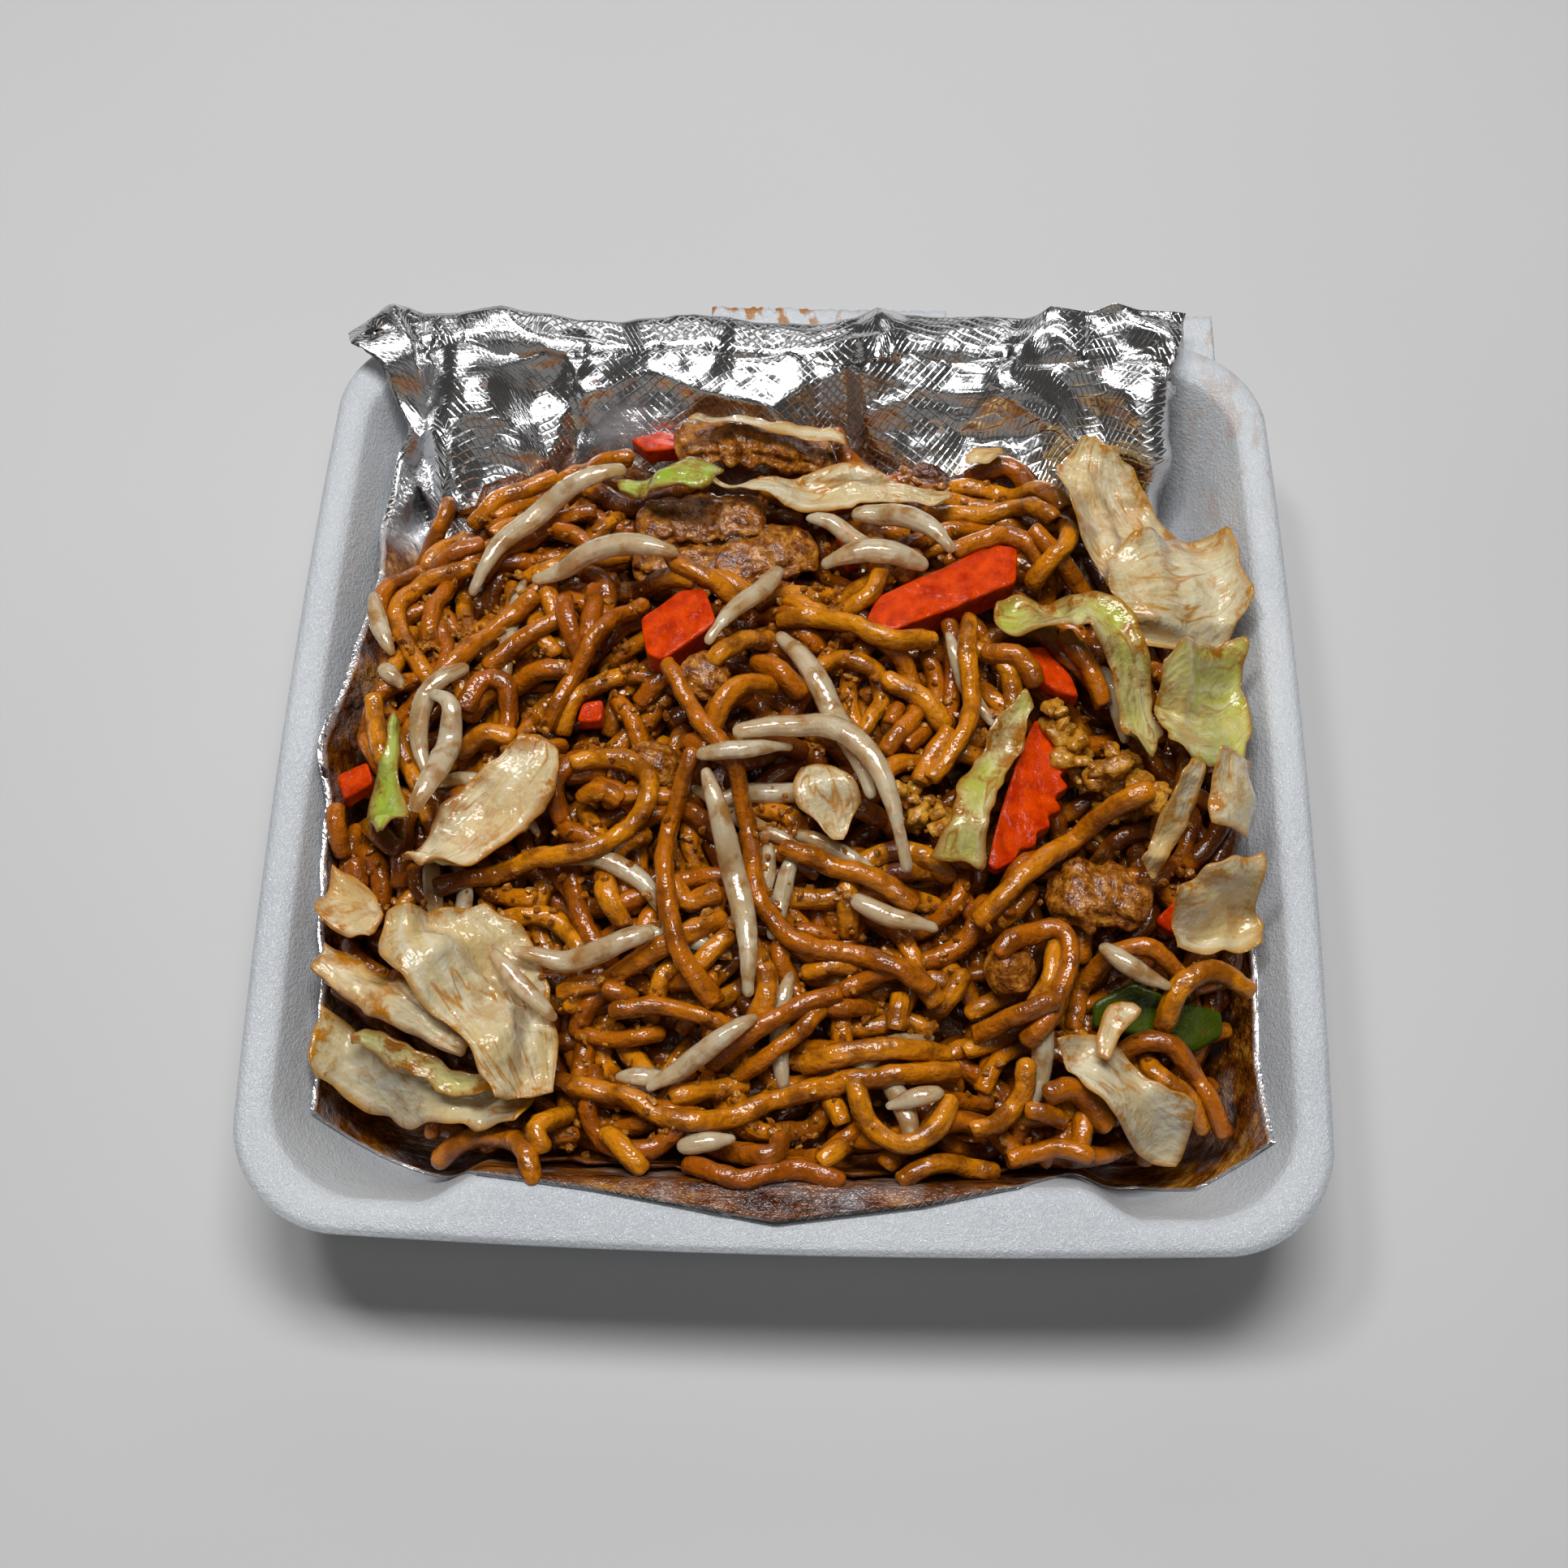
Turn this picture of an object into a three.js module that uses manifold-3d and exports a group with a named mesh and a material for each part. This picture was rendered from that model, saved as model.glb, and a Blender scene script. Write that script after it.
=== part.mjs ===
// Noodle takeaway box: a white expanded-foam tray lined with a sheet of kitchen foil and
// heaped with fried noodles, cabbage, carrot, bean sprouts, meat and egg.
//
// Millimetres, +Z up, +X to the right and +Y to the back of the tray. The origin is the
// middle of the flat underside. The pile is built the way it is dished up: every piece is
// laid on a height map of all that is already there, so it rests on it and never cuts it.

import * as THREE from "three";
import { mergeVertices } from "three/addons/utils/BufferGeometryUtils.js";
import Module from "manifold-3d";

// ---------------------------------------------------------------- driving dimensions

const TRAY_HALF = 116; // half the tray's width at its corners
const TRAY_BOW = 3; // how far each side bulges past that in its middle
const TRAY_CORNER = 23; // corner radius of the rim
const CORNER_TIGHTENING = 0.3; // radius lost for each millimetre further in
const LIP_SHELF = 7; // extra width of the rim in the middle of the front
const LIP_FLAT = 62; // half-width over which that shelf is full
const LIP_END = 76; // half-width at which it has faded out
const FLOOR = 3; // height of the tray's inner floor
const HINGE_THICK = 2.6; // foam left along the back where the lid folded

const FOIL_THICK = 0.7;
const EDGE_TOP = 22; // height of the food where it meets the foil
const DOME = 27; // rise of the heap from its edge to its middle
const CORE_DROP = 6.5; // how far the core lies under the tops of the noodles
const NOODLE_RADIUS = 2.45;
const NOODLE_SIDES = 5;
const NOODLE_STEP = 10; // length of one straight stretch of a noodle
const COVER_COUNT = 38; // noodles spread over the core before the ones that show best
const SINK = 1.4; // how deep a fused noodle beds into what it lies on
const LEAF_THICK = 1.2;
const GAP = 0.4; // air between two pieces that touch

const CELL = 0.5; // step of the height map
const REACH = 136; // the height map runs from -REACH to +REACH both ways
const SIDE = (2 * REACH) / CELL + 1;

// Profile of the tray from under the floor, over the rim, to the inner floor:
// [distance in from the rim's edge, height].
const PROFILE = [
  [24, 0], [22.5, 1], [8, 33], [6.5, 35.5], [1.5, 36.5], [0, 37.5], [0, 38.8],
  [1.2, 40], [4, 40.2], [6.5, 39.6], [8.5, 38], [21, 8], [27, FLOOR],
];
const RIM_TOP = 7; // from this profile point on, the front shelf pushes inwards

// ---------------------------------------------------------------- colours

const FOAM = { color: "#dfe4ea", roughness: 0.75, metalness: 0 };
const FOIL = { color: "#c9cacc", roughness: 0.22, metalness: 1 };
const NOODLE = { color: "#a8661b", roughness: 0.35, metalness: 0 };
const CABBAGE = { color: "#cdb990", roughness: 0.4, metalness: 0 };
const CABBAGE_GREEN = { color: "#b3b65a", roughness: 0.4, metalness: 0 };
const SPROUT = { color: "#d3c4ab", roughness: 0.3, metalness: 0 };
const CARROT = { color: "#cf3d0e", roughness: 0.35, metalness: 0 };
const PEPPER = { color: "#4a5f14", roughness: 0.3, metalness: 0 };
const ONION = { color: "#aebb48", roughness: 0.35, metalness: 0 };
const MEAT = { color: "#6e3a14", roughness: 0.35, metalness: 0 };
const EGG = { color: "#a87a35", roughness: 0.45, metalness: 0 };

// ---------------------------------------------------------------- small tools

function seeded(seed) {
  let state = seed >>> 0;
  return () => {
    state = (Math.imul(state, 1664525) + 1013904223) >>> 0;
    return state / 4294967296;
  };
}

const smoothstep = THREE.MathUtils.smoothstep;
const lerp = THREE.MathUtils.lerp;

// Straight-line value at x through a list of [x, value] points.
function along(points, x) {
  if (x <= points[0][0]) return points[0][1];
  for (let i = 1; i < points.length; i++) {
    const [x0, v0] = points[i - 1];
    const [x1, v1] = points[i];
    if (x <= x1) return lerp(v0, v1, (x - x0) / (x1 - x0));
  }
  return points[points.length - 1][1];
}

// Smooth curve through [x, y] points laid flat, read at even distances.
function flatCurve(points) {
  return new THREE.CatmullRomCurve3(points.map(([x, y]) => new THREE.Vector3(x, y, 0)), false, "centripetal");
}

function geometryFrom(positions, indices) {
  const geometry = new THREE.BufferGeometry();
  geometry.setAttribute("position", new THREE.Float32BufferAttribute(positions, 3));
  geometry.setIndex(indices);
  return geometry;
}

// Closed body from a stack of rings with equal counts, each turning counterclockwise
// seen along the stack; both ends are closed round a middle point.
function loft(rings) {
  const count = rings[0].length;
  const positions = rings.flat(2);
  const indices = [];
  for (let r = 0; r + 1 < rings.length; r++) {
    for (let k = 0; k < count; k++) {
      const a = r * count + k;
      const b = r * count + ((k + 1) % count);
      indices.push(a, b, b + count, a, b + count, a + count);
    }
  }
  [0, rings.length - 1].forEach((r, end) => {
    const middle = positions.length / 3;
    for (let axis = 0; axis < 3; axis++) {
      positions.push(rings[r].reduce((sum, point) => sum + point[axis], 0) / count);
    }
    for (let k = 0; k < count; k++) {
      const a = r * count + k;
      const b = r * count + ((k + 1) % count);
      if (end === 0) indices.push(middle, b, a);
      else indices.push(middle, a, b);
    }
  });
  return geometryFrom(positions, indices);
}

// ---------------------------------------------------------------- the height map

// Tops of what is already in the tray, on a square grid. There is one map for what a new
// noodle may bed into, and one for everything that it has to stay clear of.
function newMap() {
  return new Float32Array(SIDE * SIDE).fill(-1);
}
const soft = newMap();
const hard = newMap();

const toCell = (v) => Math.round((v + REACH) / CELL);

// Calls visit(cell, z) for each grid point under the triangle a, b, c.
function rasterise(a, b, c, visit) {
  const area = (b[0] - a[0]) * (c[1] - a[1]) - (b[1] - a[1]) * (c[0] - a[0]);
  if (Math.abs(area) < 1e-7) return;
  const i0 = Math.max(0, Math.ceil((Math.min(a[0], b[0], c[0]) + REACH) / CELL));
  const i1 = Math.min(SIDE - 1, Math.floor((Math.max(a[0], b[0], c[0]) + REACH) / CELL));
  const j0 = Math.max(0, Math.ceil((Math.min(a[1], b[1], c[1]) + REACH) / CELL));
  const j1 = Math.min(SIDE - 1, Math.floor((Math.max(a[1], b[1], c[1]) + REACH) / CELL));
  for (let j = j0; j <= j1; j++) {
    for (let i = i0; i <= i1; i++) {
      const x = i * CELL - REACH;
      const y = j * CELL - REACH;
      const wb = ((x - a[0]) * (c[1] - a[1]) - (y - a[1]) * (c[0] - a[0])) / area;
      const wc = ((b[0] - a[0]) * (y - a[1]) - (b[1] - a[1]) * (x - a[0])) / area;
      if (wb < 0 || wc < 0 || wb + wc > 1) continue;
      visit(j * SIDE + i, a[2] + wb * (b[2] - a[2]) + wc * (c[2] - a[2]));
    }
  }
}

function eachTriangle(geometry, visit) {
  const position = geometry.attributes.position;
  const index = geometry.index;
  const corner = (k) => [position.getX(k), position.getY(k), position.getZ(k)];
  for (let t = 0; t < index.count; t += 3) {
    visit(corner(index.getX(t)), corner(index.getX(t + 1)), corner(index.getX(t + 2)));
  }
}

// Adds a body's upper side to a map, one cell wider than it is.
function cover(map, geometry) {
  const reach = [0, 1, -1, SIDE, -SIDE];
  eachTriangle(geometry, (a, b, c) => rasterise(a, b, c, (cell, z) => {
    for (const step of reach) {
      if (z > map[cell + step]) map[cell + step] = z;
    }
  }));
}

// How far a body has to rise to clear both maps by the gap.
function shortfall(geometry) {
  let need = -Infinity;
  eachTriangle(geometry, (a, b, c) => rasterise(a, b, c, (cell, z) => {
    need = Math.max(need, Math.max(soft[cell], hard[cell]) + GAP - z);
  }));
  return need;
}

// The height at which something as stiff as a sheet of curvature 2k would rest on the maps.
function rest(x, y, k, span) {
  const ci = toCell(x);
  const cj = toCell(y);
  const n = Math.ceil(span / CELL);
  let top = -Infinity;
  for (let j = -n; j <= n; j++) {
    for (let i = -n; i <= n; i++) {
      const cell = (cj + j) * SIDE + ci + i;
      const away = (i * i + j * j) * CELL * CELL;
      top = Math.max(top, Math.max(soft[cell], hard[cell]) - k * away);
    }
  }
  return top;
}

// ---------------------------------------------------------------- foam tray

const SIDE_STEPS = [-1, -0.82, -0.67, -0.33, 0, 0.33, 0.67, 0.82]; // along one side
const CORNER_STEPS = 5;

function trayRing(inset, z, shelf) {
  const half = TRAY_HALF - inset;
  const radius = TRAY_CORNER - CORNER_TIGHTENING * inset;
  const straight = half - radius;
  const ring = [];
  for (let side = 0; side < 4; side++) {
    const turn = (side * Math.PI) / 2;
    const outline = SIDE_STEPS.map((s) => [s * straight, -half]);
    for (let k = 0; k < CORNER_STEPS; k++) {
      const angle = (k / CORNER_STEPS) * (Math.PI / 2) - Math.PI / 2;
      outline.push([straight + radius * Math.cos(angle), -straight + radius * Math.sin(angle)]);
    }
    for (const [x, y] of outline) {
      const px = x * Math.cos(turn) - y * Math.sin(turn);
      const py = x * Math.sin(turn) + y * Math.cos(turn);
      const bx = px * (1 + (TRAY_BOW / TRAY_HALF) * (1 - (py / TRAY_HALF) ** 2));
      const by = py * (1 + (TRAY_BOW / TRAY_HALF) * (1 - (px / TRAY_HALF) ** 2));
      const push = side === 0 ? shelf * (1 - smoothstep(Math.abs(px), LIP_FLAT, LIP_END)) : 0;
      ring.push([bx, by + push, z]);
    }
  }
  return ring;
}

function slabBox(x0, x1, y0, y1, z0, z1) {
  const box = new THREE.BoxGeometry(x1 - x0, y1 - y0, z1 - z0);
  box.translate((x0 + x1) / 2, (y0 + y1) / 2, (z0 + z1) / 2);
  return box;
}

function foamTray() {
  const shell = loft(PROFILE.map(([inset, z], i) => trayRing(inset, z, i > RIM_TOP ? LIP_SHELF : 0)));
  const hingeTop = PROFILE[5][1];
  const stubs = [[-24, 37], [98, 106]].map(([x0, x1]) => {
    return slabBox(x0, x1, TRAY_HALF - 6, TRAY_HALF + 13, hingeTop - HINGE_THICK, hingeTop);
  });
  return fuse([shell, ...stubs]);
}

// ---------------------------------------------------------------- joining solids

const wasm = await Module();
wasm.setup();

function toManifold(geometry) {
  const bare = geometry.clone();
  bare.deleteAttribute("normal");
  bare.deleteAttribute("uv");
  const merged = mergeVertices(bare, 1e-4);
  return new wasm.Manifold(new wasm.Mesh({
    numProp: 3,
    vertProperties: new Float32Array(merged.attributes.position.array),
    triVerts: new Uint32Array(merged.index.array),
  }));
}

// One closed body from bodies that overlap. Hollows sealed by the joining are filled and
// loose scraps dropped, because only the largest outer skin is kept.
function fuse(geometries) {
  const joined = geometries.map(toManifold).reduce((sum, next) => sum.add(next));
  const parts = joined.decompose();
  parts.sort((a, b) => b.volume() - a.volume());
  const mesh = parts[0].getMesh();
  return geometryFrom(Array.from(mesh.vertProperties), Array.from(mesh.triVerts));
}

// ---------------------------------------------------------------- sheets

// Closed thin body over a grid of [x, y] points, rows by columns. low and high give the
// underside and the upper side as a height at each point.
function sheet(grid, low, high) {
  const rows = grid.length;
  const columns = grid[0].length;
  const positions = [];
  for (const side of [low, high]) {
    grid.forEach((row, r) => row.forEach(([x, y], c) => positions.push(x, y, side[r][c])));
  }
  const under = (r, c) => r * columns + c;
  const over = (r, c) => rows * columns + under(r, c);
  const indices = [];
  for (let r = 0; r + 1 < rows; r++) {
    for (let c = 0; c + 1 < columns; c++) {
      const flip = (r + c) % 2 === 0;
      const [p, q, s, t] = [[r, c], [r, c + 1], [r + 1, c + 1], [r + 1, c]];
      const faces = flip ? [[p, q, s], [p, s, t]] : [[p, q, t], [q, s, t]];
      for (const [a, b, d] of faces) {
        indices.push(over(...a), over(...b), over(...d), under(...a), under(...d), under(...b));
      }
    }
  }
  const edge = [];
  for (let c = 0; c + 1 < columns; c++) edge.push([0, c]);
  for (let r = 0; r + 1 < rows; r++) edge.push([r, columns - 1]);
  for (let c = columns - 1; c > 0; c--) edge.push([rows - 1, c]);
  for (let r = rows - 1; r > 0; r--) edge.push([r, 0]);
  edge.forEach((a, i) => {
    const b = edge[(i + 1) % edge.length];
    indices.push(under(...a), under(...b), over(...b), under(...a), over(...b), over(...a));
  });
  return geometryFrom(positions, indices);
}

// Raises the points of a grid until its triangles clear the maps.
function clearGrid(grid, heights) {
  for (let pass = 0; pass < 6; pass++) {
    const need = heights.map((row) => row.map(() => 0));
    let worst = 0;
    for (let r = 0; r + 1 < grid.length; r++) {
      for (let c = 0; c + 1 < grid[0].length; c++) {
        const flip = (r + c) % 2 === 0;
        const [p, q, s, t] = [[r, c], [r, c + 1], [r + 1, c + 1], [r + 1, c]];
        for (const face of flip ? [[p, q, s], [p, s, t]] : [[p, q, t], [q, s, t]]) {
          const corners = face.map(([i, j]) => [...grid[i][j], heights[i][j]]);
          let short = 0;
          rasterise(...corners, (cell, z) => {
            short = Math.max(short, Math.max(soft[cell], hard[cell]) + GAP - z);
          });
          worst = Math.max(worst, short);
          for (const [i, j] of face) need[i][j] = Math.max(need[i][j], short);
        }
      }
    }
    heights.forEach((row, r) => row.forEach((z, c) => (row[c] = z + need[r][c])));
    if (worst < 1e-3) return;
  }
}

// A counterclockwise grid between two edges, both running the same way.
function between(right, left, rows, columns) {
  const [one, other] = [flatCurve(right), flatCurve(left)];
  const grid = [];
  for (let r = 0; r <= rows; r++) {
    const a = other.getPoint(r / rows);
    const b = one.getPoint(r / rows);
    const row = [];
    for (let c = 0; c <= columns; c++) row.push([lerp(a.x, b.x, c / columns), lerp(a.y, b.y, c / columns)]);
    grid.push(row);
  }
  const [p, q, s] = [grid[0][0], grid[0][columns], grid[rows][columns]];
  const area = (q[0] - p[0]) * (s[1] - p[1]) - (q[1] - p[1]) * (s[0] - p[0]);
  return area > 0 ? grid : grid.map((row) => row.reverse());
}

// A leaf draped over the pile: thick, thin and gently wavy, stiffer where k is small.
function leaf({ right, left, rows = 6, columns = 3, thick = LEAF_THICK, wave = 1.2, k = 0.015, span = 9,
  seed = 1 }) {
  const grid = between(right, left, rows, columns);
  const random = seeded(seed);
  const phase = [random() * 6.3, random() * 6.3];
  const low = grid.map((row) => row.map(([x, y]) => {
    const ripple = 1 + Math.sin(x / 3.5 + phase[0]) * Math.cos(y / 4 + phase[1]);
    return rest(x, y, k, span) + GAP + 0.5 * wave * ripple;
  }));
  clearGrid(grid, low);
  return sheet(grid, low, low.map((row) => row.map((z) => z + thick)));
}

// ---------------------------------------------------------------- foil

// Outline of the foil in plan. Left and right edges go from front to back; front and back
// edges go from left to right.
const FOIL_LEFT = [
  [-90, -104], [-65, -106], [-35, -108], [-5, -110.5], [15, -109], [45, -105.5], [70, -103.5],
  [88, -101], [97, -99], [104, -111], [112, -116],
];
const FOIL_RIGHT = [
  [-92, 106], [-70, 105], [-50, 106], [-30, 105.5], [-5, 102], [25, 97], [50, 94], [80, 94],
  [92, 90], [104, 96], [118, 98],
];
const FOIL_FRONT = [
  [-104, -88], [-90, -93], [-70, -99.5], [-64, -104], [-40, -107], [-1, -113.5], [30, -109],
  [50, -104], [62, -97], [80, -95], [91, -98], [106, -91],
];
const FOIL_BACK = [[-116, 112], [-104, 118.5], [-80, 116.5], [-40, 118], [0, 120.5], [60, 121], [98, 122]];
const RIM_WIDTH = 6; // the stretch of rim that carries the foil's edge
const RIM_HEIGHT = 40.2;
const FOIL_DROOP = 0.3; // fall of the foil for each millimetre that it hangs past the rim
const FOIL_COLUMNS = 18;
const FOIL_ROWS = [
  0, 0.025, 0.06, 0.11, 0.17, 0.24, 0.31, 0.38, 0.45, 0.52, 0.59, 0.66, 0.72, 0.78, 0.83, 0.87,
  0.91, 0.935, 0.955, 0.975, 1,
];
// Folds that stand up from the sheet: [x, y, radius, height].
const FOIL_FOLDS = [[-108, 102, 9, 5], [92, 120, 16, 8], [72, 122, 12, 4], [88, 96, 9, 4], [-84, 92, 8, 3]];

function foilGrid() {
  const [front, back] = [FOIL_LEFT[0][0], FOIL_LEFT[FOIL_LEFT.length - 1][0]];
  return FOIL_ROWS.map((v) => {
    const level = lerp(front, back, v);
    const row = [];
    for (let c = 0; c <= FOIL_COLUMNS; c++) {
      const x = lerp(along(FOIL_LEFT, level), along(FOIL_RIGHT, level), c / FOIL_COLUMNS);
      row.push([x, lerp(along(FOIL_FRONT, x), along(FOIL_BACK, x), v)]);
    }
    return row;
  });
}

function foilLining() {
  const grid = foilGrid();
  const random = seeded(7);
  const low = grid.map((row) => row.map(([x, y]) => {
    const fold = FOIL_FOLDS.reduce((sum, [fx, fy, radius, height]) => {
      return sum + height * Math.exp(-((x - fx) ** 2 + (y - fy) ** 2) / radius ** 2);
    }, 0);
    const wallward = smoothstep(Math.max(Math.abs(x) / 98, Math.abs(y) / 90), 0.85, 1);
    const past = Math.max(Math.abs(x), y) - (TRAY_HALF - RIM_WIDTH);
    const overRim = past > 0 ? RIM_HEIGHT - FOIL_DROOP * Math.max(0, past - RIM_WIDTH) : 0;
    return Math.max(overRim, rest(x, y, 0.2, 3)) + GAP + fold + 1.2 * wallward * random();
  }));
  clearGrid(grid, low);
  return sheet(grid, low, low.map((row) => row.map((z) => z + FOIL_THICK)));
}

// ---------------------------------------------------------------- core of the heap

function moundTop(x, y) {
  return EDGE_TOP + DOME * Math.max(0, 1 - (Math.abs(x) / 112) ** 2.5 - (Math.abs(y) / 110) ** 2.5);
}

const CORE_UNEVEN = 2; // depth of the hollows in the core's top
const CORE_SPOKES = 32;
const CORE_RINGS = [0.15, 0.38, 0.58, 0.75, 0.88, 0.96, 1];

// How far the core reaches from its middle at an angle, as a rounded rectangle whose back
// corners are cut more than its front ones.
function coreReach(angle) {
  const [c, s] = [Math.cos(angle), Math.sin(angle)];
  const depth = s > 0 ? 86 : 94;
  const power = s > 0 ? 3.3 : 4.5;
  return ((Math.abs(c) / 100) ** power + (Math.abs(s) / depth) ** power) ** (-1 / power);
}

function core() {
  const random = seeded(11);
  const ragged = Array.from({ length: CORE_SPOKES }, () => 1 - 0.05 * random());
  const ringAt = (share, height) => {
    const ring = [];
    for (let k = 0; k < CORE_SPOKES; k++) {
      const angle = (k / CORE_SPOKES) * 2 * Math.PI;
      const reach = coreReach(angle) * share * ragged[k];
      const [x, y] = [reach * Math.cos(angle), reach * Math.sin(angle)];
      ring.push([x, y, height(x, y, share)]);
    }
    return ring;
  };
  const under = (x, y) => rest(x, y, 0.2, 4) + GAP;
  const over = (x, y, share) => {
    const base = under(x, y) + 2;
    const height = lerp(base, moundTop(x, y) - CORE_DROP, Math.sqrt(1 - share ** 8));
    return Math.max(base, height - CORE_UNEVEN * random());
  };
  const rings = [
    ...CORE_RINGS.map((share) => ringAt(share, under)),
    ...[...CORE_RINGS].reverse().map((share) => ringAt(share, over)),
  ];
  const body = loft(rings);
  body.translate(0, 0, Math.max(0, shortfall(loft(rings.slice(0, CORE_RINGS.length)))));
  return body;
}

// ---------------------------------------------------------------- strands

// Lays a strand of elliptic section along a flat curve on the pile and returns its body.
// sunk strands bed into the noodles, the others stay clear of everything.
function strand({ path, wide, high = wide, sides = 6, step = 6.5, taper = 0.75, k = 0.02, sunk = false,
  rough = 0, seed = 1 }) {
  const curve = flatCurve(path);
  const length = curve.getLength();
  const random = seeded(seed);
  const fine = Math.ceil(length / 1.5);
  const bed = [];
  const n = Math.ceil(wide / CELL);
  for (let f = 0; f <= fine; f++) {
    const p = curve.getPointAt(f / fine);
    const [ci, cj] = [toCell(p.x), toCell(p.y)];
    let top = -Infinity;
    for (let j = -n; j <= n; j++) {
      for (let i = -n; i <= n; i++) {
        const away = Math.hypot(i * CELL, j * CELL) / wide;
        if (away > 1) continue;
        const cell = (cj + j) * SIDE + ci + i;
        const under = high * Math.sqrt(1 - away * away);
        const level = Math.max(soft[cell] + (sunk ? -SINK : GAP), hard[cell] + GAP);
        top = Math.max(top, level + under);
      }
    }
    bed.push(top);
  }
  const pace = length / fine;
  const sag = (f, g) => k * ((f - g) * pace) ** 2;
  const level = bed.map((_, f) => Math.max(...bed.map((z, g) => z - sag(f, g))));
  const steps = Math.max(2, Math.round(length / step));
  const rings = [];
  for (let s = 0; s <= steps; s++) {
    const u = s / steps;
    const p = curve.getPointAt(u);
    const t = curve.getTangentAt(u);
    const at = u * fine;
    const f = Math.min(fine - 1, Math.floor(at));
    const z = lerp(level[f], level[f + 1], at - f);
    const slope = (level[f + 1] - level[f]) / pace;
    const end = Math.min(1, taper + (1 - taper) * Math.min(u, 1 - u) * 6);
    const rise = 1 / Math.hypot(1, slope);
    const ring = [];
    for (let i = 0; i < sides; i++) {
      const angle = ((i + 0.5) / sides) * 2 * Math.PI;
      const lump = 1 - rough * random();
      const across = Math.cos(angle) * wide * end * lump;
      const up = Math.sin(angle) * high * end * lump;
      ring.push([
        p.x - t.y * across - t.x * slope * rise * up,
        p.y + t.x * across - t.y * slope * rise * up,
        z + rise * up,
      ]);
    }
    rings.push(ring);
  }
  const body = loft(rings);
  if (!sunk) body.translate(0, 0, Math.max(0, shortfall(body)));
  return body;
}

// ---------------------------------------------------------------- cut pieces

// A cut piece with a flat outline and a bevelled top, tilted to lie on the mound.
function cut({ outline, high, bevel = 1.2 }) {
  const middle = [0, 1].map((axis) => outline.reduce((sum, point) => sum + point[axis] / outline.length, 0));
  const slope = [0, 1].map((axis) => {
    const ahead = [...middle];
    const behind = [...middle];
    ahead[axis] += 6;
    behind[axis] -= 6;
    return (moundTop(...ahead) - moundTop(...behind)) / 12;
  });
  const area = outline.reduce((sum, [x, y], i) => {
    const [nx, ny] = outline[(i + 1) % outline.length];
    return sum + x * ny - nx * y;
  }, 0);
  const round = area > 0 ? outline : [...outline].reverse();
  const ringAt = (inward, z) => round.map(([x, y]) => {
    const away = Math.hypot(x - middle[0], y - middle[1]);
    const share = (away - inward) / away;
    const px = lerp(middle[0], x, share);
    const py = lerp(middle[1], y, share);
    return [px, py, z + slope[0] * (px - middle[0]) + slope[1] * (py - middle[1])];
  });
  const body = loft([ringAt(bevel, 0), ringAt(0, bevel), ringAt(0, high - bevel), ringAt(bevel, high)]);
  body.translate(0, 0, shortfall(body));
  return body;
}

// ---------------------------------------------------------------- building the pile

const group = new THREE.Group();

function place(name, geometry, finish) {
  const mesh = new THREE.Mesh(geometry, new THREE.MeshStandardMaterial(finish));
  mesh.name = name;
  group.add(mesh);
}

// Adds a piece that lies on the pile and becomes part of what later ones rest on.
function top(name, geometry, finish) {
  place(name, geometry, finish);
  cover(hard, geometry);
}

top("foam_tray", foamTray(), FOAM);
top("foil_lining", foilLining(), FOIL);

const heap = [core()];
cover(soft, heap[0]);

const pick = seeded(23);
function noodle(...path) {
  const radius = NOODLE_RADIUS * (0.92 + 0.16 * pick());
  const body = strand({ path, wide: radius, sides: NOODLE_SIDES, step: NOODLE_STEP, k: 0.03, sunk: true });
  heap.push(body);
  cover(soft, body);
}

// Whether a path runs over a piece that lies on the core.
function crossesPiece(path) {
  const curve = flatCurve(path);
  return curve.getSpacedPoints(24).some((p) => {
    return [[0, 0], [3, 0], [-3, 0], [0, 3], [0, -3]].some(([dx, dy]) => {
      const cell = toCell(p.y + dy) * SIDE + toCell(p.x + dx);
      return soft[cell] > 0 && hard[cell] > soft[cell] - 1;
    });
  });
}

// Noodles all over the core: one at each point of a sunflower spiral, curling round the heap.
function coverWithNoodles() {
  const goldenAngle = Math.PI * (3 - Math.sqrt(5));
  for (let n = 0; n < COVER_COUNT; n++) {
    const angle = n * goldenAngle;
    const reach = coreReach(angle) * 0.92 * Math.sqrt((n + 0.5) / COVER_COUNT);
    const heading = angle + Math.PI / 2 + 1.4 * (pick() - 0.5);
    const bend = 0.045 * (pick() - 0.35);
    const half = 14 + 13 * pick();
    const [x, y] = [reach * Math.cos(angle), reach * Math.sin(angle)];
    const path = [-1, -0.35, 0.35, 1].map((u) => {
      const turned = heading + bend * u * half;
      return [x + u * half * Math.cos(turned), y + u * half * Math.sin(turned)];
    });
    if (!crossesPiece(path)) noodle(...path);
  }
}

// Pieces deep in the pile, which noodles cross: carrot, meat and the flat leaves.
function slice(name, finish, outline, high, bevel) {
  top(name, cut({ outline, high, bevel }), finish);
}

function scrap(name, finish, path, wide, high, step, seed) {
  top(name, strand({ path, wide, high, step, seed, sides: 8, rough: 0.22, taper: 0.7, k: 0.01 }), finish);
}

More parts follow.
